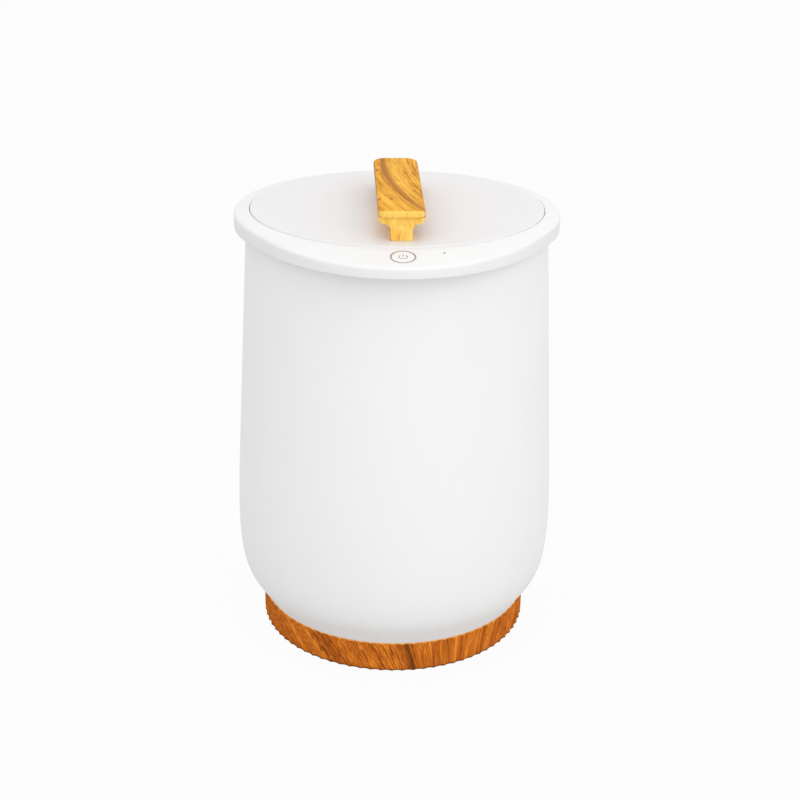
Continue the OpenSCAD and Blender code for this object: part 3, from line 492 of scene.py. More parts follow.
def block(name, low, high):
    """A plain box in millimetres from the bucket's axis, for cutting with."""
    bm = bmesh.new()
    bmesh.ops.create_cube(bm, size=1)
    for vert in bm.verts:
        x, y, z = [a + (share + 0.5) * (b - a) for share, a, b in zip(vert.co, low, high)]
        vert.co = Vector((x * MM, axis_y + y * MM, z * MM))
    return link_mesh(name, bm)


def cut_away(piece, *cutters):
    """Cuts each cutter out of a piece and removes the cutter."""
    for cutter in cutters:
        cut = piece.modifiers.new("cut", "BOOLEAN")
        cut.operation = "DIFFERENCE"
        cut.solver = "EXACT"
        cut.object = cutter
    graph = bpy.context.evaluated_depsgraph_get()
    solid = bpy.data.meshes.new_from_object(piece.evaluated_get(graph))
    bm = bmesh.new()
    bm.from_mesh(solid)
    keep_crisp(bm, sharp_edge)
    bm.to_mesh(solid)
    bm.free()
    piece.modifiers.clear()
    old = piece.data
    piece.data = solid
    bpy.data.meshes.remove(old)
    for cutter in cutters:
        bpy.data.objects.remove(cutter)
    return piece


def mixed(tree, share, low, high):
    """Blends two colours, each a socket or a plain colour, by a share."""
    mix = tree.nodes.new("ShaderNodeMix")
    mix.data_type = "RGBA"
    feed(tree, mix.inputs[6], low)
    feed(tree, mix.inputs[7], high)
    tree.links.new(share, mix.inputs[0])
    return mix.outputs[2]


def near(tree, value, middle, half):
    """1 where a value is at the middle, falling smoothly to 0 at the given half width."""
    apart = sums(tree, "ABSOLUTE", sums(tree, "SUBTRACT", value, middle), 0)
    return spread(tree, apart, 0, half, 1, 0, "SMOOTHSTEP")


def parts_of(tree, vector):
    """The X, Y and Z of a vector, by their names."""
    return add_node(tree, "ShaderNodeSeparateXYZ", {0: vector}).outputs


def joined(tree, x, y, z):
    return add_node(tree, "ShaderNodeCombineXYZ", {"X": x, "Y": y, "Z": z}).outputs[0]


def scaled(tree, vector, stretch):
    scale = add_node(tree, "ShaderNodeVectorMath", {0: vector, 1: stretch})
    scale.operation = "MULTIPLY"
    return scale.outputs[0]


def centred_place(tree):
    """Coordinates in metres with the bucket's axis at x = 0 and y = 0."""
    return own_place(tree, move=(0, -axis_y, 0))


def oiled_wood(name, tones, grain, band, arris, roughness=0.5):
    """Oiled wood: streaks along the grain, thin dark pores, one dark band (heart lines, knots and, for some
    pieces, painted shade) and a painted highlight on an arris.
    """
    dark, brown, light, heart, painted_highlight = tones
    finish, tree, shader = principled(name, brown, roughness, {"Specular IOR Level": 0.01})
    line = grain(tree)
    broad = cloud(tree, line, 140, 3, 0.55, 0.12)
    fine = cloud(tree, line, 520, 4, 0.75, 0.1)
    broad_share = times(tree, broad, 0.35)
    fine_share = times(tree, fine, 0.65)
    streak = sums(tree, "ADD", broad_share, fine_share)
    tint = ramp(tree, streak, [(0.40, dark), (0.465, brown), (0.515, brown), (0.58, light)])
    pores = spread(tree, cloud(tree, line, 950, 2, 0.5), 0.58, 0.68, 0, 0.5)
    tint = mixed(tree, pores, tint, dark)
    # The heart colour also serves as painted shade where the band function adds some.
    tint = mixed(tree, band(tree, line), tint, heart)
    # The fifth tone is a painted highlight, laid where the arris mask is high.
    set_colour(tree, shader, mixed(tree, arris(tree), tint, painted_highlight))
    set_roughness(tree, shader, spread(tree, streak, 0.35, 0.65, roughness + 0.08, roughness - 0.06))
    raise_surface(tree, shader, sums(tree, "SUBTRACT", fine, pores), 0.09 * MM, 0.6)
    return finish


def base_grain(tree):
    """The grain runs down the wall with a slant that changes round the ring."""
    place = centred_place(tree)
    parts = parts_of(tree, place)
    slant = sums(tree, "SUBTRACT", base_slant, times(tree, parts["X"], base_slant_change))
    swing = sums(tree, "DIVIDE", times(tree, slant, parts["Z"]), crest_r * MM)
    turn = add_node(tree, "ShaderNodeVectorRotate", {"Vector": place, "Angle": swing})
    turn.rotation_type = "Z_AXIS"
    return scaled(tree, turn.outputs[0], base_grain_stretch)


def base_heart_and_foot_shade(tree, line):
    """One dark heart line a little right of the front, and painted shade along the foot."""
    heart_line = near(tree, parts_of(tree, line)["X"], base_band_x * MM, base_band_half * MM)
    height = parts_of(tree, centred_place(tree))["Z"]
    # Painted shade: darker along the ring's foot, where it meets the floor.
    foot = near(tree, height, ring_low_z * MM, foot_shade_half * MM)
    return sums(tree, "MAXIMUM", times(tree, heart_line, base_band_share), foot)


def base_arris_highlight(tree):
    """The flutes' top arris, painted paler as a highlight."""
    return near(tree, parts_of(tree, centred_place(tree))["Z"], base_top_z * MM, base_highlight_half * MM)


def inlet_cut(name, half_w, half_h, from_y):
    """A block that cuts a seat or a window for the inlet, from a depth out through the flutes."""
    low = (-half_w, from_y, inlet_mid_z - half_h)
    high = (half_w, crest_r + cut_past, inlet_mid_z + half_h)
    return block(name, low, high)


base_tones = (base_dark, base_brown, base_light, base_heart, base_highlight)
base_wood = oiled_wood("oiled_brown_wood", base_tones, base_grain, base_heart_and_foot_shade, base_arris_highlight)
seat_half_w = inlet_w / 2 + seat_play
seat_half_h = inlet_h / 2 + seat_play
window_half_w = seat_half_w - window_side
window_half_h = seat_half_h - window_edge
seat_cut = inlet_cut("seat_cut", seat_half_w, seat_half_h, inlet_face_y - inlet_flange_t)
window_cut = inlet_cut("window_cut", window_half_w, window_half_h, ring_in_r - cut_past)
wear(cut_away(fluted_ring(), seat_cut, window_cut), base_wood, "bucket", "base_wood", "base_ring")

# Base plate, feet and screws
# A dark moulded plate that closes the base from below, with vents and pockets for four soft
# rubber feet. Six countersunk screws go through its posts into the shell's floor.
foot_r = 8
foot_pitch_r = 96
foot_high_z = 3.7
foot_edge = 0.8
foot_dish_r = 4.6
foot_dish_floor_r = 4.0
foot_dish = 0.5
foot_first_turn = 45
black_plastic = (0.022, 0.022, 0.024, 1)
foot_rubber = (0.035, 0.035, 0.037, 1)
screw_steel = (0.6, 0.61, 0.62, 1)


def rubber(name, colour):
    """Soft rubber: dull, with a dusty bloom in broad patches and a fine pebbled skin."""
    finish, tree, shader = principled(name, colour, 0.72, {"Specular IOR Level": 0.35})
    place = own_place(tree)
    bloom = spread(tree, cloud(tree, place, 45, 4, 0.6), 0.45, 0.75, 0, 0.35)
    dusty = tuple(channel * 1.6 + 0.01 for channel in colour[:3]) + (1,)
    set_colour(tree, shader, mixed(tree, bloom, colour, dusty))
    raise_surface(tree, shader, cloud(tree, place, 2200, 2), 0.03 * MM, 0.6)
    return finish


def plated_steel(name, colour, roughness=0.3):
    """Plated steel: bright, with fine turning marks and small dull patches."""
    finish, tree, shader = principled(name, colour, roughness, {"Metallic": 1.0})
    marks = cloud(tree, own_place(tree, (0.2, 0.2, 1)), 2600, 2)
    dull = cloud(tree, own_place(tree), 220, 3)
    set_colour(tree, shader, ramp(tree, dull, [(0.35, shade(colour, 0.82)), (0.65, colour)]))
    set_roughness(tree, shader, spread(tree, dull, 0.3, 0.7, roughness + 0.1, roughness - 0.05))
    raise_surface(tree, shader, marks, 0.008 * MM, 0.5)
    return finish


def dress(finish, *nodes):
    """Solids whose shape is right keep their mesh and get the material."""
    for node in nodes:
        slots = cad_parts[node].data.materials
        slots.clear()
        slots.append(finish)


def shift(piece, x, y):
    """Moves the points of a piece sideways, in millimetres, and leaves its origin where it is."""
    piece.data.transform(Matrix.Translation((x * MM, y * MM, 0)))


def as_one(name, pieces):
    """Joins pieces into one, as one moulding or one set."""
    bm = bmesh.new()
    for piece in pieces:
        bm.from_mesh(piece.data)
        old = piece.data
        bpy.data.objects.remove(piece)
        bpy.data.meshes.remove(old)
    return link_mesh(name, bm)


foot_outline = (
    [(0, foot_dish), (foot_dish_floor_r, foot_dish), (foot_dish_r, 0)]
    + arc(foot_r - foot_edge, foot_edge, foot_edge, -90, 0, 5)
    + [(foot_r, foot_high_z), (0, foot_high_z)]
)
feet = []
for corner in range(4):
    foot = turned(f"foot_{corner + 1}", foot_outline, 64, False)
    foot_turn = math.radians(foot_first_turn + 90 * corner)
    shift(foot, foot_pitch_r * math.cos(foot_turn), foot_pitch_r * math.sin(foot_turn))
    feet.append(foot)
foot_finish = rubber("black_foot_rubber", foot_rubber)
wear(as_one("foot_set", feet), foot_finish, "bucket", "foot_rubber", "rubber_feet")
plate_black = moulded_plastic(
    "black_moulded_plate", black_plastic, roughness=0.55, grain=0.05, tone=0.8, gloss=0.4)
bright_screw = plated_steel("zinc_plated_steel", screw_steel)
dress(plate_black, "base_plate")
dress(bright_screw, "base_screws")

# Mains inlet
# A black two-pin inlet, moulded with a thin flange that sits in the ring's flat seat at the back,
# and two brass pins pressed into it. The cord that plugs in here isn't part of the bucket.
pin_brass = (0.7, 0.52, 0.22, 1)
dress(plate_black, "power_inlet")
dress(plated_steel("plain_brass_pins", pin_brass, roughness=0.28), "inlet_pins")

# Inner drum
# A spun aluminium drum that holds the towels, with a round corner at its floor, a flange that
# hangs on the rim ring, and two studs under its floor. Spinning leaves fine rings up its wall.
drum_r = 121
drum_wall = 1
drum_floor_z = 66
drum_round = 12
drum_flange_r = 134
drum_lip = 0.6
drum_heights = (150, 230, 310)
drum_metal = (0.78, 0.79, 0.8, 1)
stud_places = (-34, 50)
stud_r = 1.5
stud_low_z = 51
stud_edge = 0.4
drum_out_r = drum_r + drum_wall
drum_top_z = body_top_z + drum_wall
round_mid_r = drum_out_r - drum_round
round_mid_z = drum_floor_z + drum_round
drum_outline = (
    [(0, drum_floor_z)]
    + arc(round_mid_r, round_mid_z, drum_round, -90, 0, 10)
    + [(drum_out_r, z) for z in drum_heights]
    + [(drum_out_r, body_top_z), (drum_flange_r, body_top_z), (drum_flange_r, drum_top_z)]
    + [(drum_r + drum_lip, drum_top_z), (drum_r, drum_top_z - drum_lip)]
    + [(drum_r, z) for z in reversed(drum_heights)]
    + arc(round_mid_r, round_mid_z, drum_round - drum_wall, 0, -90, 10)
    + [(0, drum_floor_z + drum_wall)]
)
stud_outline = [(0, stud_low_z), (stud_r - stud_edge, stud_low_z)]
stud_outline += [(stud_r, stud_low_z + stud_edge), (stud_r, drum_floor_z)]


def spun_metal(name, colour, roughness):
    """Spun sheet metal: fine rings up the wall and a soft satin that wanders round it."""
    finish, tree, shader = principled(name, colour, roughness, {"Metallic": 1.0})
    rings = cloud(tree, own_place(tree, (0.02, 0.02, 1)), 1500, 4, 0.6)
    patch = cloud(tree, own_place(tree), 25, 3)
    set_colour(tree, shader, ramp(tree, rings, [(0.3, shade(colour, 0.88)), (0.7, colour)]))
    set_roughness(tree, shader, spread(tree, patch, 0.3, 0.7, roughness - 0.05, roughness + 0.08))
    raise_surface(tree, shader, rings, 0.02 * MM, 0.4)
    return finish


drum_parts = [turned("drum_wall", drum_outline, closed=False)]
for stud_x in stud_places:
    stud = turned("drum_stud", stud_outline, 24, False)
    shift(stud, stud_x, 0)
    drum_parts.append(stud)
spun_drum = spun_metal("spun_aluminium", drum_metal, roughness=0.34)
wear(as_one("towel_drum", drum_parts), spun_drum, "bucket", "drum_metal", "inner_drum")

# Heater, insulation and rim ring
# Between drum and shell: a silicone heating mat bonded round the drum, a felt sleeve and a felt
# disc that keep the heat in, and a plastic ring on the shell's ledge that carries the flange.
heater_red = (0.36, 0.07, 0.03, 1)
felt_cream = (0.66, 0.6, 0.48, 1)
pale_grey = (0.7, 0.7, 0.68, 1)


def felt(name, colour):
    """Needled felt: matted fibres that cross at random, with lighter and darker tufts."""
    finish, tree, shader = principled(name, colour, 0.95, {"Specular IOR Level": 0.1, "Sheen Weight": 0.3})
    fibres = cloud(tree, own_place(tree, (1, 1, 0.4)), 900, 6, 0.7, 1.5)
    tufts = cloud(tree, own_place(tree), 120, 4, 0.6)
    tint = ramp(tree, fibres, [(0.35, shade(colour, 0.68)), (0.65, colour)])
    pale_share = spread(tree, tufts, 0.4, 0.7, 0, 0.4)
    set_colour(tree, shader, mixed(tree, pale_share, tint, shade(colour, 1.15)))
    raise_surface(tree, shader, fibres, 0.4 * MM, 0.8)
    return finish


cream_felt = felt("cream_needled_felt", felt_cream)
dress(rubber("red_silicone_mat", heater_red), "heater_band")
dress(cream_felt, "insulation_sleeve", "insulation_disc")
grey_plastic = moulded_plastic("pale_grey_liner", pale_grey, roughness=0.42, grain=0.02, tone=0.95)
dress(grey_plastic, "rim_ring")

# Sensors under the drum
# A thermostat and a thermal fuse are pressed against the drum's floor by a steel strip, which
# two nuts hold on studs. They switch the heater off.
thermostat_cream = (0.78, 0.74, 0.64, 1)
cream_case = moulded_plastic("cream_thermostat_case", thermostat_cream, roughness=0.5, grain=0.02, tone=0.9)
dress(cream_case, "thermostat")
dress(plated_steel("brass_fuse_can", pin_brass, roughness=0.32), "thermal_fuse")
dress(bright_screw, "sensor_strip", "sensor_nuts")

# Power board and wiring
# The board stands on posts of the base plate. Two leads come from the inlet, two go up to the
# heater, and a flat grey cable runs up inside the shell to the control board in the collar.
board_green = (0.018, 0.11, 0.045, 1)
board_part = (0.3, 0.28, 0.2, 1)
lead_grey = (0.2, 0.205, 0.21, 1)
lead_red = (0.42, 0.03, 0.02, 1)


def circuit_board(name, colour):
    """Green solder mask over copper tracks, which show as a faint paler grid."""
    finish, tree, shader = principled(name, colour, 0.32, {"Coat Weight": 0.4, "Coat Roughness": 0.15})
    tracks = add_node(tree, "ShaderNodeTexBrick", {
        "Vector": own_place(tree), "Scale": 220, "Mortar Size": 0.06,
        "Color1": colour, "Color2": shade(colour, 1.12), "Mortar": shade(colour, 1.7),
    })
    set_colour(tree, shader, tracks.outputs["Color"])
    raise_surface(tree, shader, tracks.outputs["Fac"], 0.03 * MM, 0.5)
    return finish


green_board = circuit_board("green_solder_mask", board_green)
grey_lead = rubber("grey_wire_sheath", lead_grey)
part_cases = moulded_plastic("moulded_board_parts", board_part, roughness=0.4, grain=0.03, tone=0.7)
dress(green_board, "power_board")
dress(part_cases, "board_parts")
dress(bright_screw, "board_screws")
dress(grey_lead, "mains_leads", "control_cable")
dress(rubber("red_heatproof_sheath", lead_red), "heater_leads")

# Collar
# One white moulding round the lid. Its top slopes outwards and reaches forward like a lip for
# the button. A foot inside it is screwed down through the drum's flange into the rim ring.
collar_r = 148.4
lip_reach = 22
lip_half_angle = 66
collar_slope = 10.5
collar_in_r = 134.5
collar_in_z = 414.8
collar_low_z = 398.5
collar_wall = 2.5
shoulder_r = 3
collar_edge = 1
inner_edge = 0.6
inner_round = [(0, inner_edge), (0.07, 0.36), (0.22, 0.18)]
slope_shares = (0.25, 0.5, 0.75)
collar_foot_r = 126.5
flange_top_z = 404.5
foot_top_z = 406.5
collar_steps = 360
button_pitch_r = 150.6
button_hole_r = 10.35
indicator_x = 34.28
indicator_y = -141.71
lens_hole_r = 1.05
hole_low = -5
hole_high = 3
slope_rad = math.radians(collar_slope)
# The collar's white is darker than the body's: painted shade that holds its brightly lit top slope under
# white.
shaded_collar_white = (0.84, 0.84, 0.837, 1)


def collar_reach(from_front):
    """Outer radius of the collar at an angle from the front, in degrees."""
    off = min(from_front, 360 - from_front)
    if off >= lip_half_angle:
        return collar_r
    return collar_r + lip_reach * math.cos(math.radians(90 * off / lip_half_angle)) ** 2


def collar_top_z(radius):
    return collar_in_z - (radius - collar_in_r) * math.tan(slope_rad)


def collar_section(reach):
    """The collar's cross-section where its outer wall stands at the given radius."""
    top_r = reach - shoulder_r
    shoulder_z = collar_top_z(top_r) - shoulder_r / math.cos(slope_rad)
    under = collar_wall / math.cos(slope_rad)
    wall_in_r = reach - collar_wall
    foot_out_r = collar_in_r + collar_wall
    fillet = [(collar_in_r + across, collar_in_z - down) for across, down in inner_round]
    slope_radii = [collar_in_r + inner_edge]
    slope_radii += [collar_in_r + (top_r - collar_in_r) * share for share in slope_shares]
    slope = [(radius, collar_top_z(radius)) for radius in slope_radii]
    outside = arc(top_r, shoulder_z, shoulder_r, 90 - collar_slope, 0, 10)
    low = arc(reach - collar_edge, collar_low_z + collar_edge, collar_edge, 0, -90, 5)
    inside = [
        (wall_in_r, collar_low_z), (wall_in_r, collar_top_z(wall_in_r) - under),
        (foot_out_r, collar_top_z(foot_out_r) - under), (foot_out_r, body_top_z),
        (collar_in_r, body_top_z), (collar_in_r, flange_top_z),
        (collar_foot_r, flange_top_z), (collar_foot_r, foot_top_z), (collar_in_r, foot_top_z),
    ]
    return fillet + slope + outside + low + inside


def collar_ring():
    bm = bmesh.new()
    strips = []
    for i in range(collar_steps):
        from_front = 360 * i / collar_steps
        section = collar_section(collar_reach(from_front))
        angle = math.radians(from_front - 90)
        strips.append([point_round(bm, radius, angle, z) for radius, z in section])
    join_rings(bm, strips, True)
    return link_mesh("lip_collar", bm)


def lean_with_collar(piece, place=(0, 0, 0)):
    """Moves a piece drawn on the bucket's axis to the button and leans it with the collar's top."""
    button = Matrix.Translation((0, axis_y - button_pitch_r * MM, collar_top_z(button_pitch_r) * MM))
    lean = Matrix.Rotation(slope_rad, 4, "X")
    home = Matrix.Translation((place[0] * MM, place[1] * MM - axis_y, place[2] * MM))
    piece.data.transform(button @ lean @ home)
    return piece


def on_slope(name, outline, steps=96, place=(0, 0, 0), closed=False):
    return lean_with_collar(turned(name, outline, steps, closed), place)


def hole_outline(radius):
    return [(0, hole_low), (radius, hole_low), (radius, hole_high), (0, hole_high)]


indicator_rise = collar_top_z(math.hypot(indicator_x, indicator_y)) - collar_top_z(button_pitch_r)
indicator_back = indicator_y + button_pitch_r
lens_y = indicator_back * math.cos(slope_rad) + indicator_rise * math.sin(slope_rad)
lens_z = indicator_rise * math.cos(slope_rad) - indicator_back * math.sin(slope_rad)
lens_place = (indicator_x, lens_y, lens_z)
collar_white = moulded_plastic("satin_white_collar_shaded", shaded_collar_white)
button_hole = on_slope("button_hole", hole_outline(button_hole_r))
lens_hole = on_slope("lens_hole", hole_outline(lens_hole_r), 48, lens_place)
wear(cut_away(collar_ring(), button_hole, lens_hole), collar_white, "bucket", "body_white", "collar")
dress(collar_white, "collar_tray")
dress(bright_screw, "collar_screws", "tray_screws")

# Control board and switch
# A small board under the collar's lip carries the push switch under the button and the lamp
# under the lens. Two screws hold it on posts of the tray.
led_clear = (0.8, 0.85, 0.8, 1)
plunger_tan = (0.48, 0.43, 0.34, 1)
dress(green_board, "control_board")
dress(bright_screw, "control_screws")
dress(plate_black, "button_switch")
resin = moulded_plastic("clear_lamp_resin", led_clear, roughness=0.18, grain=0.005, tone=0.95, gloss=0.5)
dress(resin, "indicator_led")
dress(moulded_plastic("tan_switch_plunger", plunger_tan, grain=0.02, tone=0.9), "switch_plunger")

# Power button
# A white push button with a grey printed power mark sits in a thin satin metal ring, which is
# pressed into the collar. It goes down 0.8 mm and springs back.
trim_r = 10.8
trim_in_r = 9.58
trim_body_r = 10.3
trim_proud = 0.4
trim_depth = 4
trim_out_edge = 0.2
trim_in_edge = 0.15
button_r = 9.5
button_proud = 0.25
button_cap_t = 1.3
button_skirt = 1.2
button_skirt_w = 1.2
button_edge = 0.3
mark_out_r = 3.9
mark_in_r = 3.05
mark_gap = 36
mark_bar_half = 0.42
mark_bar_low = 0.4
mark_bar_past = 0.2
mark_t = 0.02
trim_metal = (0.52, 0.525, 0.53, 1)
button_white = (0.86, 0.86, 0.855, 1)
mark_grey = (0.33, 0.33, 0.335, 1)
trim_outline = (
    [(trim_in_r, -trim_depth), (trim_body_r, -trim_depth), (trim_body_r, 0), (trim_r, 0)]
    + [(trim_r, trim_proud / 2)]
    + arc(trim_r - trim_out_edge, trim_proud - trim_out_edge, trim_out_edge, 0, 90, 4)
    + arc(trim_in_r + trim_in_edge, trim_proud - trim_in_edge, trim_in_edge, 90, 180, 4)
)
cap_low = button_proud - button_cap_t
skirt_low = cap_low - button_skirt
skirt_in_r = button_r - button_skirt_w
button_outline = (
    [(0, cap_low), (skirt_in_r, cap_low), (skirt_in_r, skirt_low), (button_r, skirt_low)]
    + arc(button_r - button_edge, button_proud - button_edge, button_edge, 0, 90, 5)
    + [(button_r * share, button_proud) for share in (0.7, 0.4, 0)]
)


def skin_bar(bm, rings):
    """Skins rings of points into one bar, and returns the two faces that close its ends."""
    join_rings(bm, rings, False)
    return [bm.faces.new(rings[0]), bm.faces.new(rings[-1])]


def open_ring(name, section, start, end, steps=40):
    """Part of a ring round the axis, between two angles in degrees, with closed ends."""
    bm = bmesh.new()
    rings = []
    for i in range(steps + 1):
        angle = math.radians(start + (end - start) * i / steps)
        rings.append([point_round(bm, radius, angle, z) for radius, z in section])
    skin_bar(bm, rings)
    return link_mesh(name, bm)


def satin_trim(name, colour):
    """Satin metal trim: a very fine matt grain and a slightly uneven gloss."""
    finish, tree, shader = principled(name, colour, 0.36, {"Metallic": 0.85})
    grain = cloud(tree, own_place(tree), 3200, 3)
    patch = cloud(tree, own_place(tree), 300, 2)
    set_colour(tree, shader, ramp(tree, grain, [(0.3, shade(colour, 0.85)), (0.7, colour)]))
    set_roughness(tree, shader, spread(tree, patch, 0.3, 0.7, 0.3, 0.42))
    raise_surface(tree, shader, grain, 0.004 * MM, 0.5)
    return finish


trim_finish = satin_trim("satin_ring_trim", trim_metal)
wear(on_slope("button_trim", trim_outline, closed=True), trim_finish, "bucket", "ring_metal", "button_ring")
button_finish = moulded_plastic("button_white_gloss", button_white, roughness=0.24, grain=0.006, gloss=0.3)
wear(on_slope("push_button", button_outline), button_finish, "button", "button_face", "power_button")
mark_low = button_proud - mark_t
mark_high = button_proud + mark_t
mark_section = [
    (mark_in_r, mark_low), (mark_out_r, mark_low), (mark_out_r, mark_high), (mark_in_r, mark_high),
]
mark_arc = open_ring("mark_arc", mark_section, 90 + mark_gap, 450 - mark_gap)
bar_low = (-mark_bar_half, mark_bar_low, mark_low)
bar_high = (mark_bar_half, mark_out_r + mark_bar_past, mark_high)
mark = lean_with_collar(as_one("power_mark", [mark_arc, block("mark_stroke", bar_low, bar_high)]))
mark_ink = moulded_plastic("grey_mark_ink", mark_grey, roughness=0.5, grain=0.004, tone=0.85)
wear(mark, mark_ink, "button", "button_face")

# Indicator lens
# A tiny smoky lens that shines when the heater is on. It is pressed into the collar from inside,
# with its slightly domed tip just proud of the slope.
lens_r = 1.0
lens_proud = 0.15
lens_long = 2.7
lens_smoke = (0.12, 0.125, 0.13, 1)
lens_dome = [(1, 0), (0.92, 0.5), (0.6, 0.85), (0, 1)]
lens_outline = [(0, -lens_long), (lens_r, -lens_long)]
lens_outline += [(lens_r * across, lens_proud * up) for across, up in lens_dome]
lens_finish = moulded_plastic(
    "smoky_lamp_lens", lens_smoke, roughness=0.15, grain=0.004, tone=0.85, gloss=0.5)
lamp_lens = on_slope("lamp_lens", lens_outline, 40, lens_place)
wear(lamp_lens, lens_finish, "bucket", "lens", "indicator_lens")

# Lid
# A flat white moulding with a soft round on its edge, and under it a pale pan filled with felt
# that reaches into the drum. A silicone ring seals on the drum's flange. Six screws hold the pan.
lid_r = 134
lid_top_z = 415.6
lid_low_z = 408.8
lid_wall = 2.5
lid_round = 1.2
lid_low_edge = 0.3
plug_r = 119.5
plug_low_z = 392.0
plug_round = 3
plug_in_corner = 3.6
liner_t = 1.5
liner_play = 0.3
seal_in_r = 122.5
seal_out_r = 125.8
seal_low_z = 404.8
seal_lip = 0.82
# The lid's white is darker than the body's: painted shade for the weaker light on its flat top.
shaded_lid_white = (0.8, 0.793, 0.793, 1)
seal_pale = (0.58, 0.58, 0.57, 1)
lid_in_r = lid_r - lid_wall
lid_outline = (
    [(0, lid_top_z - lid_wall), (lid_in_r, lid_top_z - lid_wall), (lid_in_r, lid_low_z)]
    + [(lid_r - lid_low_edge, lid_low_z), (lid_r, lid_low_z + lid_low_edge)]
    + arc(lid_r - lid_round, lid_top_z - lid_round, lid_round, 0, 90, 8)
    + [(lid_r * share, lid_top_z) for share in (0.94, 0.75, 0.5, 0.25, 0)]
)
liner_out_r = lid_in_r - liner_play
plug_in_r = plug_r - liner_t
pan_outline = (
    [(0, plug_low_z)]
    + arc(plug_r - plug_round, plug_low_z + plug_round, plug_round, -90, 0, 6)
    + [(plug_r, lid_low_z), (liner_out_r, lid_low_z), (liner_out_r, lid_low_z + liner_t)]
    + [(plug_in_r, lid_low_z + liner_t), (plug_in_r, plug_low_z + plug_in_corner)]
    + [(plug_r - plug_in_corner, plug_low_z + liner_t), (0, plug_low_z + liner_t)]
)
seal_outline = (
    [(seal_in_r, lid_low_z)]
    + arc(seal_in_r + seal_lip, seal_low_z + seal_lip, seal_lip, 180, 270, 5)
    + arc(seal_out_r - seal_lip, seal_low_z + seal_lip, seal_lip, 270, 360, 5)
    + [(seal_out_r, lid_low_z)]
)
lid_finish = moulded_plastic("satin_white_lid_shaded", shaded_lid_white, roughness=0.34)
wear(turned("lid_top", lid_outline, closed=False), lid_finish, "lid", "lid_white", "lid_cover")
wear(turned("lid_pan", pan_outline, closed=False), grey_plastic, "lid", "liner_plastic", "lid_liner")
seal_finish = rubber("pale_silicone_seal", seal_pale)
wear(turned("lid_gasket", seal_outline), seal_finish, "lid", "seal_rubber", "lid_seal")
dress(cream_felt, "lid_insulation")
dress(bright_screw, "lid_screws")

# Handle
# A golden oiled wooden plank on a narrower rail of the same wood: fingers go in the grooves under
# its edges. Three screws from inside the lid go up through the rail into the plank.
cap_t = 6
cap_front_w = 39.4
cap_back_w = 41.2
cap_front_y = -120
cap_back_y = 75
cap_front_corner_r = 6.5
cap_back_corner_r = 13
cap_edge = 1.8
cap_edge_steps = 6
cap_foot_round = [(0, 0.8), (0.25, 0.3), (0.8, 0)]
rail_top_h = 20.5
rail_front_y = -117
rail_back_y = 72
rail_web_w = 18.8
rail_half_w = 19.6
rail_cove = 4
rail_groove_h = 14.5
rail_flange_r = 5.8
rail_end_edge = 0.4
rail_sharp_edge = math.radians(40)
rail_back_play = 1
rail_back_steps = 8
corner_steps = 10
back_round_x = cap_back_w / 2 - cap_back_corner_r
back_round_y = cap_back_y - cap_back_corner_r
golden = (0.78, 0.38, 0.05, 1)
golden_dark = (0.4, 0.15, 0.022, 1)
golden_light = (0.95, 0.54, 0.085, 1)
golden_heart = (0.4, 0.15, 0.038, 1)
# Painted highlight colour for the golden wood's front arris.
golden_highlight = (0.95, 0.6, 0.13, 1)
honey = (0.92, 0.56, 0.11, 1)
honey_dark = (0.78, 0.36, 0.045, 1)
honey_light = (0.95, 0.68, 0.2, 1)
honey_heart = (0.7, 0.28, 0.03, 1)
# Painted highlight colour for the honey end grain's front arris.
honey_highlight = (0.95, 0.62, 0.14, 1)
handle_grain_stretch = (1, 0.045, 0.2)
swirl_offset = -9.0
swirl_slope = -0.122
swirl_bend = 0.98
swirl_half = 4.4
swirl_wander = 1.6
swirl_share = 0.85
# Across, along and half width of each knot, seen from above
knots = [(-7.8, -79.5, 2.2), (-18.2, -80.5, 2.6), (-18.0, 24.0, 3.2), (12.5, -52.0, 1.6)]
knot_long = 2.5
# Painted shade along the plank's side edges and back end: half width and strength.
edge_shade_half = 1.5
edge_shade_share = 0.9
end_streak_x = 8.5
end_streak_half = 1.2
end_streak_share = 0.3
front_highlight_half = 2.2
front_highlight_share = 0.6


def plank_outline(inset):
    """The plank seen from above, a little wider at the back, with round corners."""
    front_x = cap_front_w / 2 - cap_front_corner_r
    front_y = cap_front_y + cap_front_corner_r
    front_r = cap_front_corner_r - inset
    back_r = cap_back_corner_r - inset
    return (
        arc(front_x, front_y, front_r, -90, 0, corner_steps)
        + arc(back_round_x, back_round_y, back_r, 0, 90, corner_steps)
        + arc(-back_round_x, back_round_y, back_r, 90, 180, corner_steps)
        + arc(-front_x, front_y, front_r, 180, 270, corner_steps)
    )


def handle_plank():
    low_z = lid_top_z + rail_top_h
    high_z = low_z + cap_t
    levels = [(low_z + depth, inset) for depth, inset in cap_foot_round]
    levels += [(high_z - depth, inset) for depth, inset in reversed(edge_round(cap_edge, cap_edge_steps))]
    bm = bmesh.new()
    rings = [[point_at(bm, x, y, z) for x, y in plank_outline(inset)] for z, inset in levels]
    skin_bar(bm, rings)
    return link_mesh("handle_plank", bm)


def rail_half():
    """Right half of the rail's cross-section: web, cove, then the flange's round lower edge."""
    cove = arc(rail_web_w / 2 + rail_cove, rail_groove_h - rail_cove, rail_cove, 180, 90, 6)
    flange = arc(rail_half_w - rail_flange_r, rail_groove_h + rail_flange_r, rail_flange_r, -90, 0, 10)
    return [(rail_web_w / 2, 0)] + cove + flange + [(rail_half_w, rail_top_h)]


def rail_reach(y):
    """Half width that the rail may have: its back corners follow the plank's round ones."""
    into_round = max(0, y - back_round_y)
    return back_round_x + math.sqrt(cap_back_corner_r ** 2 - into_round ** 2) - rail_back_play


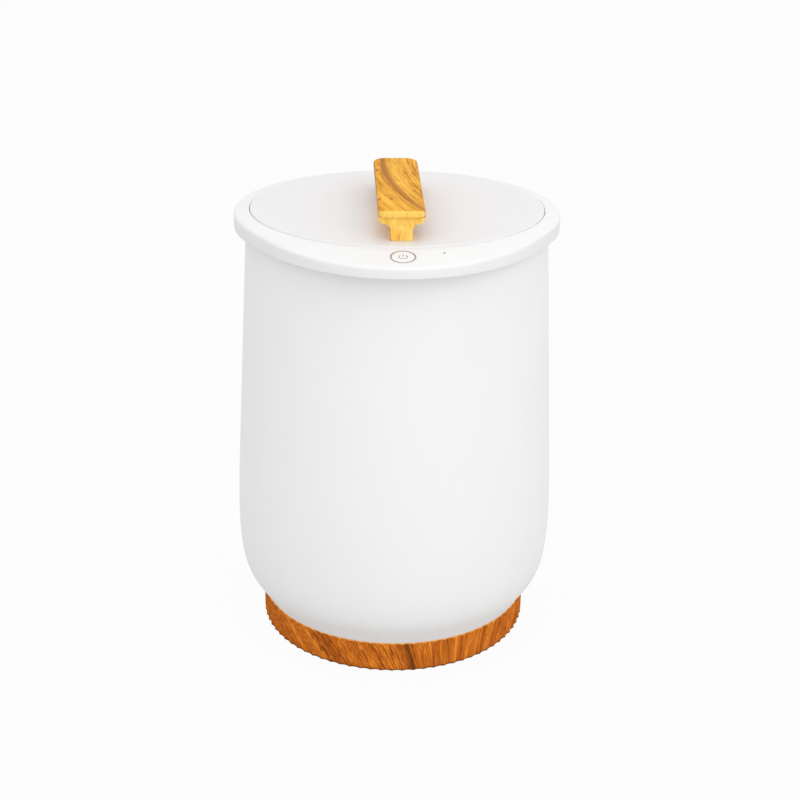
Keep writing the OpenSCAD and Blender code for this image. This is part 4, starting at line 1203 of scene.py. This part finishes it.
def handle_rail():
    half = rail_half()
    section = half + [(-x, h) for x, h in reversed(half)]
    round_step = (rail_back_y - back_round_y) / rail_back_steps
    stations = [rail_front_y, rail_front_y / 2, 0, rail_back_y / 2]
    stations += [back_round_y + round_step * i for i in range(rail_back_steps + 1)]
    bm = bmesh.new()
    rings = []
    for y in stations:
        reach = rail_reach(y)
        rings.append([point_at(bm, max(-reach, min(reach, x)), y, lid_top_z + h) for x, h in section])
    rim = [edge for face in skin_bar(bm, rings) for edge in face.edges]
    bmesh.ops.bevel(bm, geom=rim, offset=rail_end_edge * MM, segments=3, profile=0.5, affect="EDGES")
    return link_mesh("handle_rail_bar", bm, rail_sharp_edge)


def handle_grain(tree):
    """The grain runs along the plank and sweeps a little to the right towards the front."""
    x, y, z = parts_of(tree, centred_place(tree))
    square = times(tree, y, y)
    tilt = times(tree, y, swirl_slope)
    sweep = sums(tree, "ADD", tilt, times(tree, square, swirl_bend))
    across = sums(tree, "SUBTRACT", sums(tree, "SUBTRACT", x, sweep), swirl_offset * MM)
    return scaled(tree, joined(tree, across, y, z), handle_grain_stretch)


def handle_heart_and_edge_shade(tree, line):
    """The dark heart line, four small knots beside it, and painted shade along the plank's side edges and
    back end.
    """
    wander = spread(tree, cloud(tree, line, 90, 2), 0.3, 0.7, -swirl_wander * MM, swirl_wander * MM)
    from_heart = sums(tree, "ADD", parts_of(tree, line)["X"], wander)
    dark = times(tree, near(tree, from_heart, 0.0, swirl_half * MM), swirl_share)
    place = parts_of(tree, centred_place(tree))
    for knot_x, knot_y, knot_r in knots:
        across = near(tree, place["X"], knot_x * MM, knot_r * MM)
        along = near(tree, place["Y"], knot_y * MM, knot_long * knot_r * MM)
        dark = sums(tree, "MAXIMUM", dark, times(tree, across, along))
    # Painted shade: darker along the side edges and the back end.
    side = near(tree, sums(tree, "ABSOLUTE", place["X"], 0), cap_back_w / 2 * MM, edge_shade_half * MM)
    end = near(tree, place["Y"], cap_back_y * MM, 2 * edge_shade_half * MM)
    edge_shade = times(tree, sums(tree, "MAXIMUM", side, end), edge_shade_share)
    return sums(tree, "MAXIMUM", dark, edge_shade)


def end_streak(tree, line):
    """One faint darker streak down the end, a little right of its middle."""
    streak = near(tree, parts_of(tree, line)["X"], end_streak_x * MM, end_streak_half * MM)
    return times(tree, streak, end_streak_share)


def front_arris_highlight(tree):
    """The plank's front top arris, painted paler as a highlight."""
    along = parts_of(tree, centred_place(tree))["Y"]
    painted_highlight = near(tree, along, cap_front_y * MM, front_highlight_half * MM)
    return times(tree, painted_highlight, front_highlight_share)


def show_end_grain(piece, finish, lean=0.7):
    """Gives the end faces, which look forward or back, their own paler end grain."""
    piece.data.materials.append(finish)
    for face in piece.data.polygons:
        if abs(face.normal.y) > lean:
            face.material_index = 1


golden_tones = (golden_dark, golden, golden_light, golden_heart, golden_highlight)
honey_tones = (honey_dark, honey, honey_light, honey_heart, honey_highlight)
golden_wood = oiled_wood("oiled_golden_wood", golden_tones, handle_grain, handle_heart_and_edge_shade, front_arris_highlight)
honey_wood = oiled_wood("honey_end_grain", honey_tones, handle_grain, end_streak, front_arris_highlight)
plank = wear(handle_plank(), golden_wood, "lid", "handle_wood", "handle_cap")
show_end_grain(plank, honey_wood, lean=0.5)
rail = wear(handle_rail(), golden_wood, "lid", "handle_wood", "handle_rail")
show_end_grain(rail, honey_wood)
dress(bright_screw, "handle_screws", "handle_washers")
